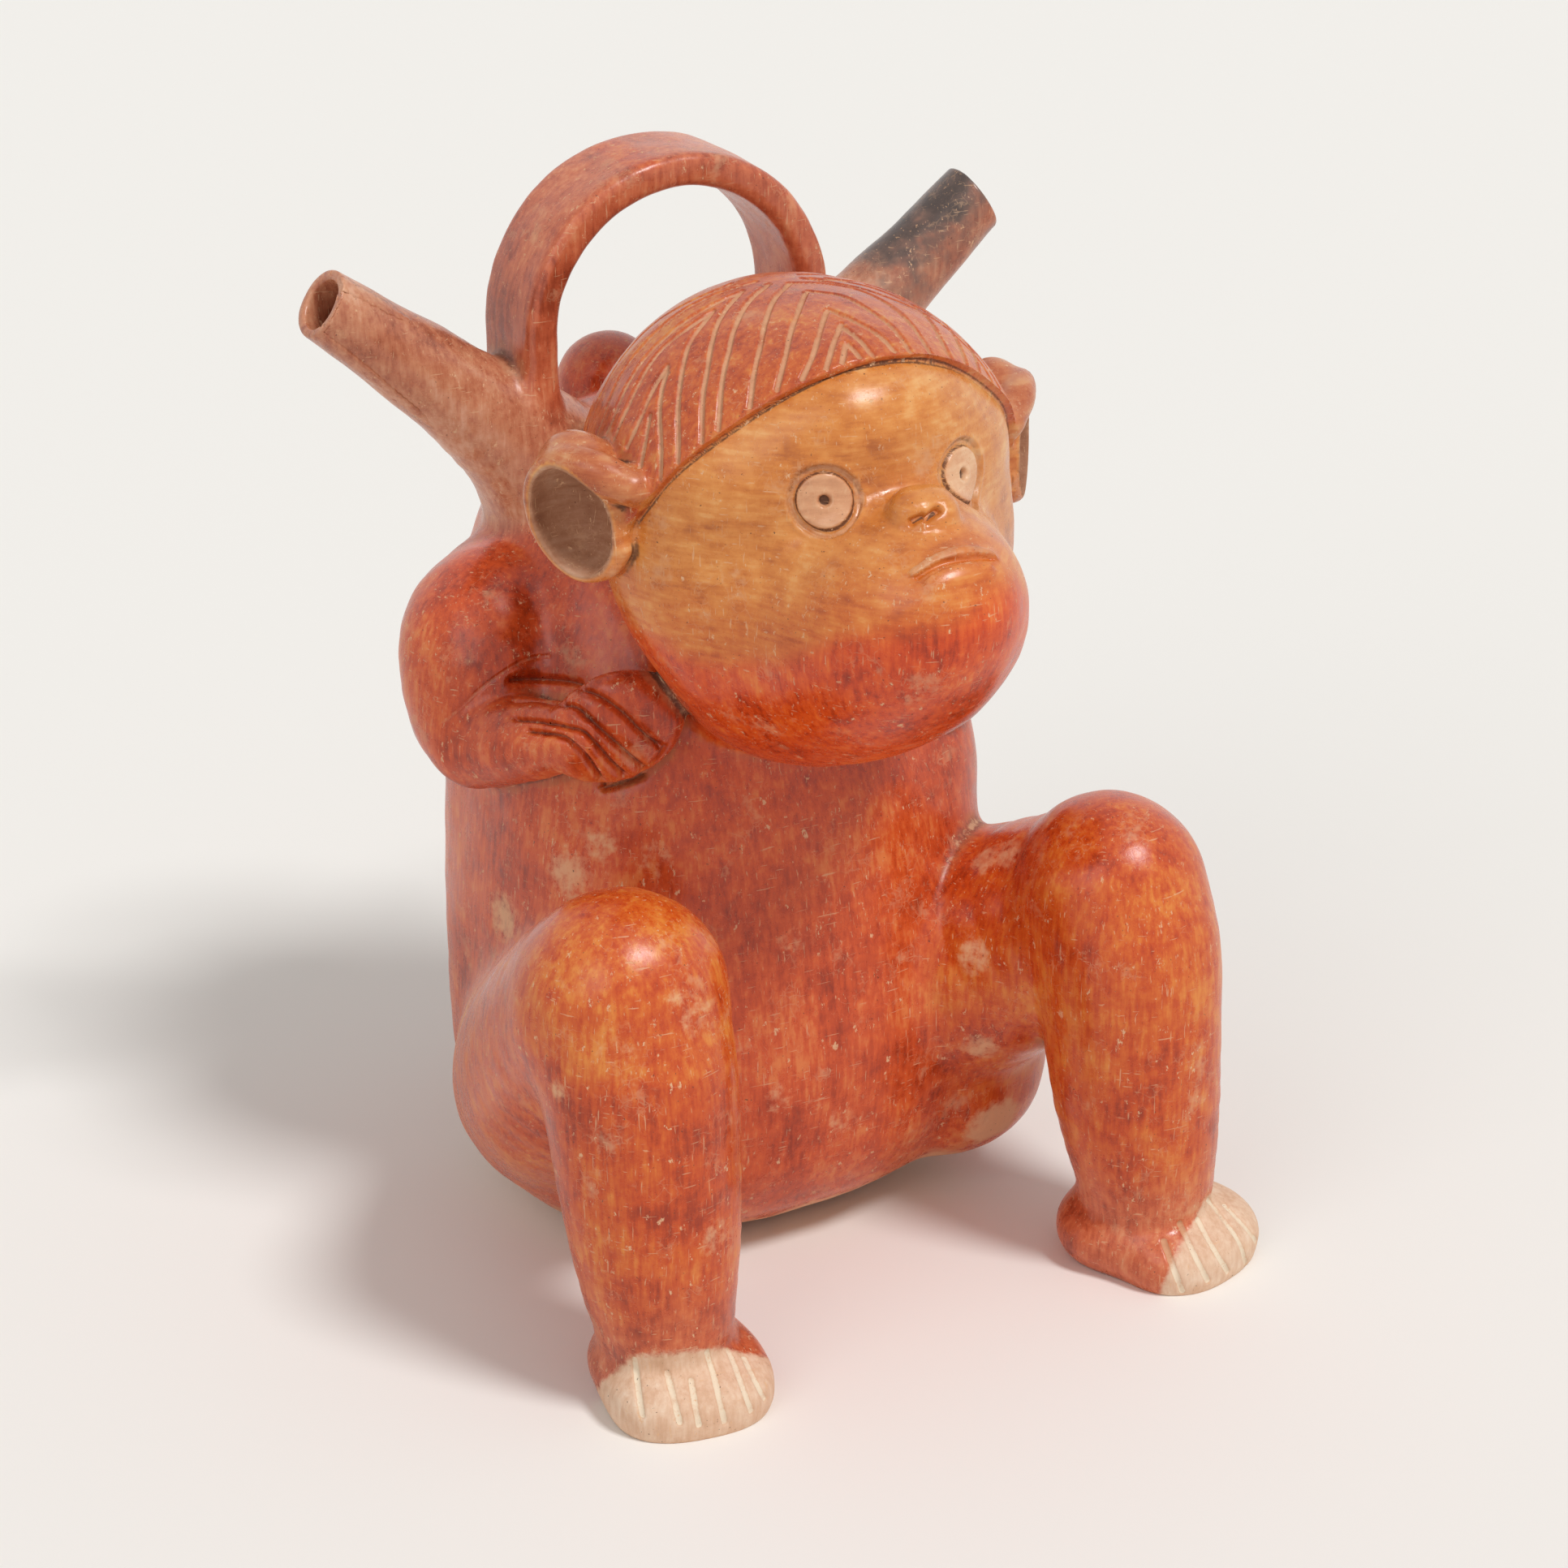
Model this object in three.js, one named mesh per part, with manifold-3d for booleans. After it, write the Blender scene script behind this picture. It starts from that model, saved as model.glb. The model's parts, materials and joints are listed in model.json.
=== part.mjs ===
// Monkey effigy vessel of burnished, slipped clay: a seated monkey whose round body is the
// chamber, two slanting spouts behind the head and a flat strap that bridges their bases.
// Millimetres, +Z up. The animal faces -Y and its right side is -X. Belly and soles rest on
// Z = 0. Each member is built as its own piece of clay with a thin luting joint around it.

import * as THREE from "three";
import Module from "manifold-3d";
import { mergeVertices } from "three/addons/utils/BufferGeometryUtils.js";

const wasm = await Module();
wasm.setup();

// Walls, joints and fineness

const jointGap = 0.3;
const bodyWall = 6;
const headWall = 5.5;
const limbWall = 6;
const spoutWall = 2.6;
const weldDistance = 0.0003;
const skinTolerance = 0.13;

const bodySides = 28;
const innerSides = 16;
const limbSides = 14;
const smallSides = 10;
const boreSides = 8;
const headSides = 20;
const headRings = 10;
const plainRings = 8;
const eyeSides = 14;
const bridgeSteps = 16;
const domeAngles = [68, 34];

// Body: a squarish pot, fullest low down, drawn in to the shoulders

const bodyHeight = 229;
const bodyWidth = 137;
const bodyDepth = 137;
const bodySquareness = 2.8;
// Shares of body height, half width, then depth in front, behind and at the widest line
const bodyShares = [
  [0, 0.55, -0.343, 0.146, -0.117],
  [0.009, 0.69, -0.401, 0.219, -0.124],
  [0.035, 0.83, -0.482, 0.292, -0.128],
  [0.079, 0.93, -0.562, 0.328, -0.131],
  [0.153, 0.98, -0.62, 0.35, -0.131],
  [0.262, 1, -0.642, 0.358, -0.131],
  [0.393, 0.993, -0.62, 0.358, -0.124],
  [0.524, 0.963, -0.577, 0.358, -0.102],
  [0.655, 0.905, -0.504, 0.358, -0.073],
  [0.764, 0.832, -0.409, 0.35, -0.029],
  [0.852, 0.73, -0.307, 0.328, 0],
  [0.917, 0.569, -0.204, 0.277, 0.022],
  [0.969, 0.38, -0.102, 0.204, 0.036],
  [1, 0.146, -0.015, 0.102, 0.044],
];

// Head: four overlapping eggs, each with its width, its length along the slant and its
// thickness across the slant. The cheeks sit on the shoulders and the others sit on the cheeks

const cheekWidth = 112;
const cheekLength = 118;
const cheekThickness = 88;
const cheekTiltAngle = 63;
const crownWidth = 92;
const crownLength = 64;
const crownThickness = 126;
const crownTiltAngle = 69;
const muzzleWidth = 80;
const muzzleLength = 146;
const muzzleThickness = 76;
const muzzleTiltAngle = -22;
const browWidth = 98;
const browLength = 72;
const browThickness = 52;
const browTiltAngle = 0;
// Shares of body depth forward and of body height up for the cheeks
const headSeatShares = [0.54, 0.956];
// Shares of cheek thickness forward and of cheek length up for the others
const crownPlaceShares = [-0.136, 0.144];
const muzzlePlaceShares = [0.17, -0.208];
const browPlaceShares = [0.114, 0.161];

const neckBoreRadius = 11;
const neckFootShares = [0, -0.11, 0.72];
const neckHeadShares = [-0.15, -0.25];

const hairThickness = 2.6;
const napeShare = 0.045;

// Features stand where a line from the middle of the cheeks leaves the head. Each aim is the
// angle that the line turns to the side and the angle that it climbs

const hairlineAngles = [0, 52];
const templeAngles = [78, 11.5];
const eyeAngles = [23.5, 24];
const noseAngles = [0, 17.5];
const mouthAngles = [0, 7];
const earAngles = [94, 12];

const eyeRadius = 8.8;
const eyeDepth = 3.2;
const eyeStand = 0.6;
const eyeRingWidth = 1.5;
const eyeRingDepth = 1.1;
const pupilRadius = 1.6;

const noseWidth = 18;
const noseLength = 15;
const noseHeight = 12.6;
const nostrilRadius = 1.1;
// Shares of nose width apart, of nose length ahead and of nose height up
const nostrilShares = [0.155, 0.6, 0.025];
const mouthWidth = 25.2;
const mouthLength = 13;
const mouthHeight = 9.6;
const mouthSlit = 0.9;
const mouthSlitShare = 0.8;

const earDepth = 21.6;
const earWidth = 33.6;
const earHeight = 39.6;
const earLip = 5.8;
const earHollowShares = [1.2, 0.42];
const earSetOut = 6;
// Direction that the cup opens to: outward, forward and up
const earAxisShares = [0.75, -0.6, 0.15];

// Arms: stations as shares of the body's half width, depth and height, and of a radius

const shoulderRadius = 24;
const elbowRadius = 14;
const wristRadius = 8;
const upperArmShares = [
  [0.73, 0.03, 0.757, 0.92], [0.87, -0.04, 0.742, 0.98], [0.93, -0.085, 0.7, 0.86], [0.97, -0.124, 0.675, 0.56],
];
const elbowShares = [[1.0, -0.153, 0.66, 0.93], [0.95, -0.314, 0.686, 0.74]];
const wristShares = [0.84, -0.44, 0.717, 1];
const handWidth = 38;
const handThickness = 16;
const handHeight = 30;
const handPlaceShares = [0.73, -0.453, 0.716];
const handPitchAngle = 25;
const handYawAngle = 22;
const digitPlaces = [-1.5, -0.5, 0.5, 1.5];
const fingerGroove = 1.3;
const fingerSpacingShare = 0.17;
const fingerShiftShare = 0.2;

// Legs: the two were modelled by hand and differ a little. Knees stand out from the belly

const hipRadius = 36;
const kneeRadius = 26;
const ankleRadius = 19;
const rightKneeHeight = 113;
const leftKneeHeight = 108;
const kneeReach = 20.5;
const ankleHeight = 26;
const ankleReach = 12;
// Shares of body half width, depth and height
const hipShares = [0.76, -0.248, 0.203];
// Shares of the way from hip to knee and of the hip radius
const thighShares = [[0, 1], [0.38, 0.95]];
// Shares of body half width for knee and ankle
const rightSpreadShares = [1.06, 0.993];
const leftSpreadShares = [1.14, 1.19];
const underKneeShares = [0.42, -0.35, 1.06];
// Shares of the way down the shin and of the radius between ankle and knee
const shinShares = [[0.27, 0.96], [0.72, 0.55]];
const rightFootAngle = 6;
const leftFootAngle = 14;
const footWidth = 44;
const footLength = 50;
const footThickness = 26;
const footHeight = 9;
const footReach = 6;
const toeGroove = 1.3;
const toeFanAngle = 9;
const toeSpacingShare = 0.145;

// Spouts: tapering tubes that leave the shoulders and lean out to either side

const spoutOut = 69;
const spoutRise = 63;
const spoutBehind = 6;
const spoutMouthRadius = 9.3;
const spoutRootRadius = 22;
// Shares of the way out, of the way up and of the radius between mouth and root
const spoutShares = [[0, 0, 1], [0.2, 0.27, 0.61], [0.59, 0.64, 0.21], [1, 1, 0]];
// Shares of body half width and height where the line of a spout starts
const spoutRootShares = [0.44, 0, 0.895];

// Bridge: a flat strap bent to a half ring over straight legs

const bridgeLeg = 42;
const bridgeRadius = 39.7;
const bridgeWidth = 29;
const bridgeThickness = 9.2;
const bridgeEdge = 3;
const bridgeFootShare = 0.92;

// Tail: a roll of clay up the back that ends in a ball behind the bridge

const tailRadius = 12;
const tailBallRadius = 15;
const tailShares = [
  [0, 0.28, 0.087, 1.1], [0, 0.35, 0.262, 1], [0, 0.38, 0.524, 0.95], [0, 0.365, 0.786, 1],
];
const tailBallShares = [[0.015, 0.33, 0.908, 0.9], [0.03, 0.32, 0.95, 1]];

// Helpers

const up = new THREE.Vector3(0, 0, 1);
const across = new THREE.Vector3(1, 0, 0);
const behind = new THREE.Vector3(0, 1, 0);
const radians = THREE.MathUtils.degToRad;
const bothSides = [["right", -1], ["left", 1]];

function toSolid(geometry) {
  const bare = geometry.clone();
  bare.deleteAttribute("normal");
  bare.deleteAttribute("uv");
  const welded = mergeVertices(bare, weldDistance);
  const mesh = new wasm.Mesh({
    numProp: 3,
    vertProperties: new Float32Array(welded.attributes.position.array),
    triVerts: new Uint32Array(welded.index.array),
  });
  mesh.merge();
  return new wasm.Manifold(mesh);
}

// The largest body of a cut solid; crumbs left by the cuts are not kept
function toGeometry(solid) {
  const bodies = solid.simplify(skinTolerance).decompose();
  bodies.sort((a, b) => b.volume() - a.volume());
  const mesh = bodies[0].getMesh();
  const geometry = new THREE.BufferGeometry();
  geometry.setAttribute("position", new THREE.BufferAttribute(new Float32Array(mesh.vertProperties), 3));
  geometry.setIndex(new THREE.BufferAttribute(new Uint32Array(mesh.triVerts), 1));
  geometry.computeVertexNormals();
  return geometry;
}

// Skin through rings of points, closed at both ends by a fan
function loft(rings) {
  const sides = rings[0].length;
  const points = rings.flat().flatMap((p) => [p.x, p.y, p.z]);
  const faces = [];
  for (let r = 0; r + 1 < rings.length; r += 1) {
    for (let s = 0; s < sides; s += 1) {
      const a = r * sides + s;
      const b = r * sides + ((s + 1) % sides);
      faces.push(a, b, b + sides, a, b + sides, a + sides);
    }
  }
  for (const [ring, first, turned] of [[rings[0], 0, true], [rings.at(-1), (rings.length - 1) * sides, false]]) {
    const centre = points.length / 3;
    const middle = new THREE.Vector3();
    for (const p of ring) middle.addScaledVector(p, 1 / sides);
    points.push(middle.x, middle.y, middle.z);
    for (let s = 0; s < sides; s += 1) {
      const a = first + s;
      const b = first + ((s + 1) % sides);
      if (turned) faces.push(centre, b, a);
      else faces.push(centre, a, b);
    }
  }
  const geometry = new THREE.BufferGeometry();
  geometry.setAttribute("position", new THREE.BufferAttribute(new Float32Array(points), 3));
  geometry.setIndex(faces);
  const solid = toSolid(geometry);
  if (solid.volume() >= 0) return solid;
  geometry.setIndex(faces.map((_, i) => faces[i - (i % 3) + [0, 2, 1][i % 3]]));
  return toSolid(geometry);
}

// Tapered limb with domed ends through stations of a centre and a radius; grow swells it
function limb(stations, grow, sides, side, steps = 2) {
  const centres = new THREE.CatmullRomCurve3(
    stations.map(([x, y, z]) => new THREE.Vector3(x, y, z)), false, "catmullrom", 0.5);
  const radii = new THREE.CatmullRomCurve3(
    stations.map(([, , , r]) => new THREE.Vector3(r, r, r)), false, "catmullrom", 0.5);
  const ringAt = (share, dome) => {
    const along = centres.getTangent(share);
    const radius = radii.getPoint(share).x + grow;
    const u = side.clone().addScaledVector(along, -side.dot(along)).normalize();
    const v = new THREE.Vector3().crossVectors(along, u);
    const centre = centres.getPoint(share).addScaledVector(along, radius * Math.sin(dome));
    return Array.from({ length: sides }, (_, s) => {
      const angle = (s / sides) * Math.PI * 2;
      return centre.clone().addScaledVector(u, radius * Math.cos(dome) * Math.cos(angle))
        .addScaledVector(v, radius * Math.cos(dome) * Math.sin(angle));
    });
  };
  const count = (stations.length - 1) * steps;
  const domes = domeAngles.map(radians);
  return loft([
    ...domes.map((dome) => ringAt(0, -dome)),
    ...Array.from({ length: count + 1 }, (_, i) => ringAt(i / count, 0)),
    ...domes.reverse().map((dome) => ringAt(1, dome)),
  ]);
}

// Egg of a full width, length and thickness, turned by a matrix; grow swells it
function egg(centre, sizes, matrix, grow, sides, rings) {
  return toSolid(new THREE.SphereGeometry(1, sides, rings).rotateX(Math.PI / 2)
    .scale(sizes[0] / 2 + grow, sizes[1] / 2 + grow, sizes[2] / 2 + grow)
    .applyMatrix4(matrix).translate(...centre));
}

function thinner(stations, wall) {
  return stations.map(([x, y, z, r]) => [x, y, z, r - wall]);
}

const turnX = (degrees) => new THREE.Matrix4().makeRotationX(radians(degrees));
const turnY = (degrees) => new THREE.Matrix4().makeRotationY(radians(degrees));
const turnZ = (degrees) => new THREE.Matrix4().makeRotationZ(radians(degrees));

// Axes along, across and up for a feature that looks along a direction
function featureFrame(direction) {
  const n = direction.clone().normalize();
  const v = up.clone().addScaledVector(n, -n.z).normalize();
  return new THREE.Matrix4().makeBasis(n, new THREE.Vector3().crossVectors(v, n), v);
}

// Union of several solids
const joined = (list) => list.reduce((whole, next) => whole.add(next));
const onGround = (solid) => solid.trimByPlane([0, 0, 1], 0);

const still = new THREE.Matrix4();

// A place on the body given in shares of its half width, depth and height
const onBody = (sign, [x, y, z]) => [sign * x * bodyWidth / 2, y * bodyDepth, z * bodyHeight];
// Stations of a limb on the body, the fourth share being of a radius
const between = (from, to, way) => from.map((start, i) => start + way * (to[i] - start));
const alongBody = (sign, shares, radius) => shares.map((one) => [...onBody(sign, one), one[3] * radius]);

// Body

function bodySolid(grow, sides = bodySides) {
  const power = 2 / bodySquareness;
  const last = bodyShares.length - 1;
  return loft(bodyShares.map(([height, width, front, back, middle], i) => {
    const lift = i === 0 ? -grow : i === last ? grow : 0;
    return Array.from({ length: sides }, (_, s) => {
      const angle = (s / sides) * Math.PI * 2;
      const c = Math.cos(angle);
      const d = Math.sin(angle);
      const reach = (d < 0 ? middle - front : back - middle) * bodyDepth + grow;
      return new THREE.Vector3(
        Math.sign(c) * Math.abs(c) ** power * (width * bodyWidth / 2 + grow),
        middle * bodyDepth + Math.sign(d) * Math.abs(d) ** power * reach,
        height * bodyHeight + lift);
    });
  }));
}

const bodyClear = bodySolid(jointGap);

// Head

const [seatForward, seatUp] = headSeatShares;
const headCentre = new THREE.Vector3(0, -seatForward * bodyDepth, seatUp * bodyHeight);
const onCheeks = ([forward, high]) => headCentre.clone()
  .add(new THREE.Vector3(0, -forward * cheekThickness, high * cheekLength));

const headEggs = [
  { sizes: [crownWidth, crownLength, crownThickness], centre: onCheeks(crownPlaceShares), tilt: crownTiltAngle },
  {
    sizes: [muzzleWidth, muzzleLength, muzzleThickness], centre: onCheeks(muzzlePlaceShares),
    tilt: muzzleTiltAngle,
  },
  { sizes: [cheekWidth, cheekLength, cheekThickness], centre: headCentre, tilt: cheekTiltAngle },
  { sizes: [browWidth, browLength, browThickness], centre: onCheeks(browPlaceShares), tilt: browTiltAngle },
];
const headSolid = (grow, sides = headSides, rings = headRings) => joined(headEggs.map(
  ({ sizes, centre, tilt }) => egg(centre.toArray(), sizes, turnX(tilt), grow, sides, rings)));

// Where an aimed line leaves the head, and which way the skin faces there
function onHead(sign, [aside, above]) {
  const line = new THREE.Vector3(sign * Math.sin(radians(aside)), -Math.cos(radians(aside)), 0)
    .multiplyScalar(Math.cos(radians(above))).addScaledVector(up, Math.sin(radians(above)));
  let reach = 0;
  let normal = line.clone();
  for (const { sizes, centre, tilt } of headEggs) {
    const shrink = new THREE.Vector3(2 / sizes[0], 2 / sizes[1], 2 / sizes[2]);
    const from = headCentre.clone().sub(centre).applyMatrix4(turnX(-tilt)).multiply(shrink);
    const step = line.clone().applyMatrix4(turnX(-tilt)).multiply(shrink);
    const root = from.dot(step) ** 2 - step.lengthSq() * (from.lengthSq() - 1);
    const leaves = root > 0 ? (Math.sqrt(root) - from.dot(step)) / step.lengthSq() : 0;
    if (leaves > reach) {
      reach = leaves;
      normal = from.addScaledVector(step, leaves).multiply(shrink).applyMatrix4(turnX(tilt)).normalize();
    }
  }
  return { point: headCentre.clone().addScaledVector(line, reach), normal };
}

const headClear = headSolid(jointGap);
const neckPort = limb([
  [...onBody(1, neckFootShares), neckBoreRadius], [...onCheeks(neckHeadShares).toArray(), neckBoreRadius],
], 0, smallSides, across);

const solids = {};

// Legs: hollow thighs opening into the body, hollow shins closed by the feet

const legSizes = {
  right: [rightKneeHeight, rightSpreadShares, rightFootAngle],
  left: [leftKneeHeight, leftSpreadShares, leftFootAngle],
};
const bellyFront = Math.min(...bodyShares.map(([, , front]) => front)) * bodyDepth;
const thighBores = [];
for (const [name, sign] of bothSides) {
  const [kneeHeight, [kneeSpread, ankleSpread], footAngle] = legSizes[name];
  const knee = [sign * kneeSpread * bodyWidth / 2, bellyFront - kneeReach, kneeHeight];
  const ankle = [sign * ankleSpread * bodyWidth / 2, knee[1] - ankleReach, ankleHeight];
  const [back, down, thick] = underKneeShares;
  const hip = onBody(sign, hipShares);
  const thigh = [
    ...thighShares.map(([way, stout]) => [...between(hip, knee, way), stout * hipRadius]),
    [knee[0], knee[1] + back * kneeRadius, knee[2] + down * kneeRadius, thick * kneeRadius],
    [...knee, kneeRadius],
  ];
  const shin = [[...knee, kneeRadius], ...shinShares.map(([way, stout]) => [
    ...between(knee, ankle, way), ankleRadius + stout * (kneeRadius - ankleRadius),
  ]), [...ankle, ankleRadius]];
  const shinBore = thinner(shin, limbWall);
  shinBore.at(-1)[2] += limbWall;
  const footCentre = [ankle[0], ankle[1] - footReach, footHeight];
  const foot = (grow, sides = limbSides) =>
    egg(footCentre, [footWidth, footLength, footThickness], turnZ(sign * footAngle), grow, sides, plainRings);
  const toes = digitPlaces.map((place) => toSolid(
    new THREE.BoxGeometry(toeGroove, footLength / 2, footLength / 2).translate(0, -footLength / 2, 0)
      .rotateZ(radians(sign * footAngle + place * toeFanAngle))
      .translate(footCentre[0] + place * toeSpacingShare * footWidth, footCentre[1], footCentre[2])));
  const thighBore = limb(thinner(thigh, limbWall), 0, boreSides, across, 1);
  thighBores.push(thighBore);
  solids[`thigh_${name}`] = onGround(limb(thigh, 0, limbSides, across)).subtract(thighBore)
    .subtract(bodyClear).subtract(limb(shin, jointGap, limbSides, across));
  solids[`shin_${name}`] = limb(shin, 0, limbSides, across).subtract(limb(shinBore, 0, boreSides, across, 1))
    .subtract(thighBore).subtract(foot(jointGap)).subtract(bodyClear).trimByPlane([0, 0, 1], footHeight);
  solids[`foot_${name}`] = onGround(foot(0).subtract(joined(toes).subtract(foot(-toeGroove, smallSides))));
}

// Arms: a full upper arm on the shoulder, the forearm folded up, the hand flat on the chest

for (const [name, sign] of bothSides) {
  const upperArm = alongBody(sign, upperArmShares, shoulderRadius);
  const foreArm = [...alongBody(sign, elbowShares, elbowRadius), ...alongBody(sign, [wristShares], wristRadius)];
  const handCentre = onBody(sign, handPlaceShares);
  const handTurn = turnZ(sign * handYawAngle).multiply(turnY(sign * handPitchAngle));
  const hand = (grow, sides = limbSides) =>
    egg(handCentre, [handWidth, handThickness, handHeight], handTurn, grow, sides, plainRings);
  const armClear = limb(upperArm, jointGap, smallSides, across);
  const fingers = digitPlaces.map((place) => toSolid(
    new THREE.BoxGeometry(handWidth, handThickness, fingerGroove)
      .translate(-sign * fingerShiftShare * handWidth, -handThickness / 2, place * fingerSpacingShare * handHeight)
      .applyMatrix4(handTurn).translate(...handCentre)));
  solids[`upper_arm_${name}`] = limb(upperArm, 0, smallSides, across).subtract(bodyClear).subtract(headClear);
  solids[`forearm_${name}`] = limb(foreArm, 0, smallSides, across).subtract(bodyClear)
    .subtract(armClear).subtract(hand(jointGap)).subtract(headClear);
  solids[`hand_${name}`] = hand(0)
    .subtract(joined(fingers).subtract(hand(-fingerGroove, smallSides)))
    .subtract(bodyClear).subtract(headClear).subtract(armClear);
}

// Spouts: bored tubes cut square across at the mouth

const spouts = {};
for (const [name, sign] of bothSides) {
  const [rootX, , rootZ] = onBody(sign, spoutRootShares);
  const line = spoutShares.map(([out, high, stout]) => [
    rootX + out * sign * spoutOut, spoutBehind, rootZ + high * spoutRise,
    spoutMouthRadius + stout * (spoutRootRadius - spoutMouthRadius)]);
  const along = new THREE.Vector3(sign * spoutOut, 0, spoutRise).normalize();
  const mouth = new THREE.Vector3(...line.at(-1));
  const beyond = mouth.clone().addScaledVector(along, spoutMouthRadius);
  const bore = thinner(line, spoutWall).map(([x, y, z, r]) => [x, y, z, Math.min(r, spoutMouthRadius)]);
  spouts[name] = {
    outer: limb(line, 0, limbSides, behind).trimByPlane([-along.x, 0, -along.z], -along.dot(mouth)),
    clear: limb(line, jointGap, limbSides, behind),
    bore: limb([...bore, [...beyond.toArray(), bore.at(-1)[3]]], 0, boreSides, behind, 1),
  };
}
const spoutsClear = joined(bothSides.map(([name]) => spouts[name].clear));
for (const [name] of bothSides) {
  solids[`spout_${name}`] = spouts[name].outer.subtract(spouts[name].bore).subtract(bodyClear)
    .subtract(headClear);
}

// Bridge

function bridgeSolid(grow) {
  const half = bridgeThickness / 2 + grow;
  const broad = bridgeWidth / 2 + grow;
  const foot = bridgeFootShare * bodyHeight;
  const centre = foot + bridgeLeg;
  const arc = Array.from({ length: bridgeSteps + 1 }, (_, i) => {
    const angle = Math.PI * (1 - i / bridgeSteps);
    return new THREE.Vector3(bridgeRadius * Math.cos(angle), spoutBehind, centre + bridgeRadius * Math.sin(angle));
  });
  const path = [
    new THREE.Vector3(-bridgeRadius, spoutBehind, foot), ...arc, new THREE.Vector3(bridgeRadius, spoutBehind, foot),
  ];
  return loft(path.map((p, i) => {
    const along = path[Math.min(i + 1, path.length - 1)].clone().sub(path[Math.max(i - 1, 0)]).normalize();
    const out = new THREE.Vector3(-along.z, 0, along.x);
    return [[1, 1], [-1, 1], [-1, -1], [1, -1]].flatMap(([a, b]) => [0, 1].map((turned) => {
      const first = (a * b > 0) === (turned === 0);
      return p.clone().addScaledVector(out, a * (half - (first ? 0 : bridgeEdge)))
        .addScaledVector(behind, b * (broad - (first ? bridgeEdge : 0)));
    }));
  }));
}
const bridgeClear = bridgeSolid(jointGap);
solids.bridge_handle = bridgeSolid(0).subtract(spoutsClear).subtract(bodyClear).subtract(headClear);

// Tail

const tail = [...alongBody(1, tailShares, tailRadius), ...alongBody(1, tailBallShares, tailBallRadius)];
solids.tail = onGround(limb(tail, 0, smallSides, across)).subtract(bodyClear).subtract(spoutsClear)
  .subtract(bridgeClear);

// Ears: cups that open outward and forward

const earClears = [];
for (const [name, sign] of bothSides) {
  const [outward, forward, above] = earAxisShares;
  const axis = new THREE.Vector3(sign * outward, forward, above).normalize();
  const frame = featureFrame(axis);
  const centre = onHead(sign, earAngles).point.addScaledVector(across, sign * earSetOut);
  const [long, shift] = earHollowShares;
  const hollow = centre.clone().addScaledVector(axis, shift * earDepth);
  const cup = (grow) => egg(centre.toArray(), [earDepth, earWidth, earHeight], frame, grow, limbSides, plainRings);
  earClears.push(cup(jointGap));
  solids[`ear_${name}`] = cup(0).subtract(egg(hollow.toArray(),
    [long * earDepth, earWidth - 2 * earLip, earHeight - 2 * earLip], frame, 0, smallSides, plainRings))
    .subtract(headClear);
}

// Eyes: discs set in the face, a ring cut round each and a small hole in the middle

const eyeClears = [];
for (const [name, sign] of bothSides) {
  const { point, normal } = onHead(sign, eyeAngles);
  const disc = (radius, low, high) => toSolid(
    new THREE.CylinderGeometry(radius, radius, high - low, eyeSides).translate(0, (low + high) / 2, 0)
      .rotateZ(-Math.PI / 2).applyMatrix4(featureFrame(normal)).translate(...point.toArray()));
  const groove = eyeStand - eyeRingDepth;
  const ringOut = eyeRadius - eyeRingWidth;
  const ring = disc(ringOut, groove, eyeDepth).subtract(disc(ringOut - eyeRingWidth, -eyeDepth, 2 * eyeDepth));
  eyeClears.push(disc(eyeRadius + jointGap, -eyeDepth - jointGap, eyeDepth));
  solids[`eye_${name}`] = disc(eyeRadius, -eyeDepth, eyeStand).subtract(ring)
    .subtract(disc(pupilRadius, groove, eyeDepth));
}

// Nose and mouth: pellets pressed on the muzzle

const nosePoint = onHead(1, noseAngles).point;
const noseEgg = (grow) =>
  egg(nosePoint.toArray(), [noseWidth, noseLength, noseHeight], still, grow, limbSides, plainRings);
const [nostrilApart, nostrilAhead, nostrilUp] = nostrilShares;
const nostrils = bothSides.map(([, sign]) => toSolid(
  new THREE.CylinderGeometry(nostrilRadius, nostrilRadius, noseLength / 2, boreSides).translate(
    nosePoint.x + sign * nostrilApart * noseWidth, nosePoint.y - nostrilAhead * noseLength,
    nosePoint.z + nostrilUp * noseHeight)));
solids.nose = noseEgg(0).subtract(headClear).subtract(joined(nostrils));

const mouthPoint = onHead(1, mouthAngles).point;
const slit = toSolid(new THREE.BoxGeometry(mouthSlitShare * mouthWidth, mouthLength / 2, mouthSlit)
  .translate(mouthPoint.x, mouthPoint.y - mouthLength / 2, mouthPoint.z));
solids.mouth = egg(mouthPoint.toArray(), [mouthWidth, mouthLength, mouthHeight], still, 0, smallSides, plainRings)
  .subtract(headClear).subtract(noseEgg(jointGap)).subtract(slit);

// Head shell, hollow and open into the body

solids.head_shell = headSolid(0).subtract(headSolid(-headWall, innerSides, plainRings)).subtract(neckPort)
  .subtract(bodyClear).subtract(joined(eyeClears));

// Hair: a proud skin over crown and nape, cut off along a line from brow to temples

const brow = onHead(1, hairlineAngles).point;
const temple = onHead(1, templeAngles).point;
const hairline = new THREE.Vector2(brow.y - temple.y, brow.z - temple.z).normalize();
solids.hair_cap = headSolid(hairThickness)
  .trimByPlane([0, hairline.y, -hairline.x], hairline.y * temple.y - hairline.x * temple.z)
  .trimByPlane([0, 0, 1], headCentre.z - napeShare * cheekLength)
  .subtract(headClear).subtract(bodyClear).subtract(bridgeClear).subtract(spoutsClear)
  .subtract(joined(earClears));

// Body shell, with ports to head, legs and spouts

const chamber = bodySolid(-bodyWall, innerSides)
  .trimByPlane([0, 0, -1], bodyWall - bodyShares.at(-2)[0] * bodyHeight);
let body = bodySolid(0).subtract(chamber).subtract(neckPort);
for (const [name] of bothSides) body = body.subtract(spouts[name].bore);
for (const bore of thighBores) body = body.subtract(bore);
solids.body_shell = onGround(body);

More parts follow.
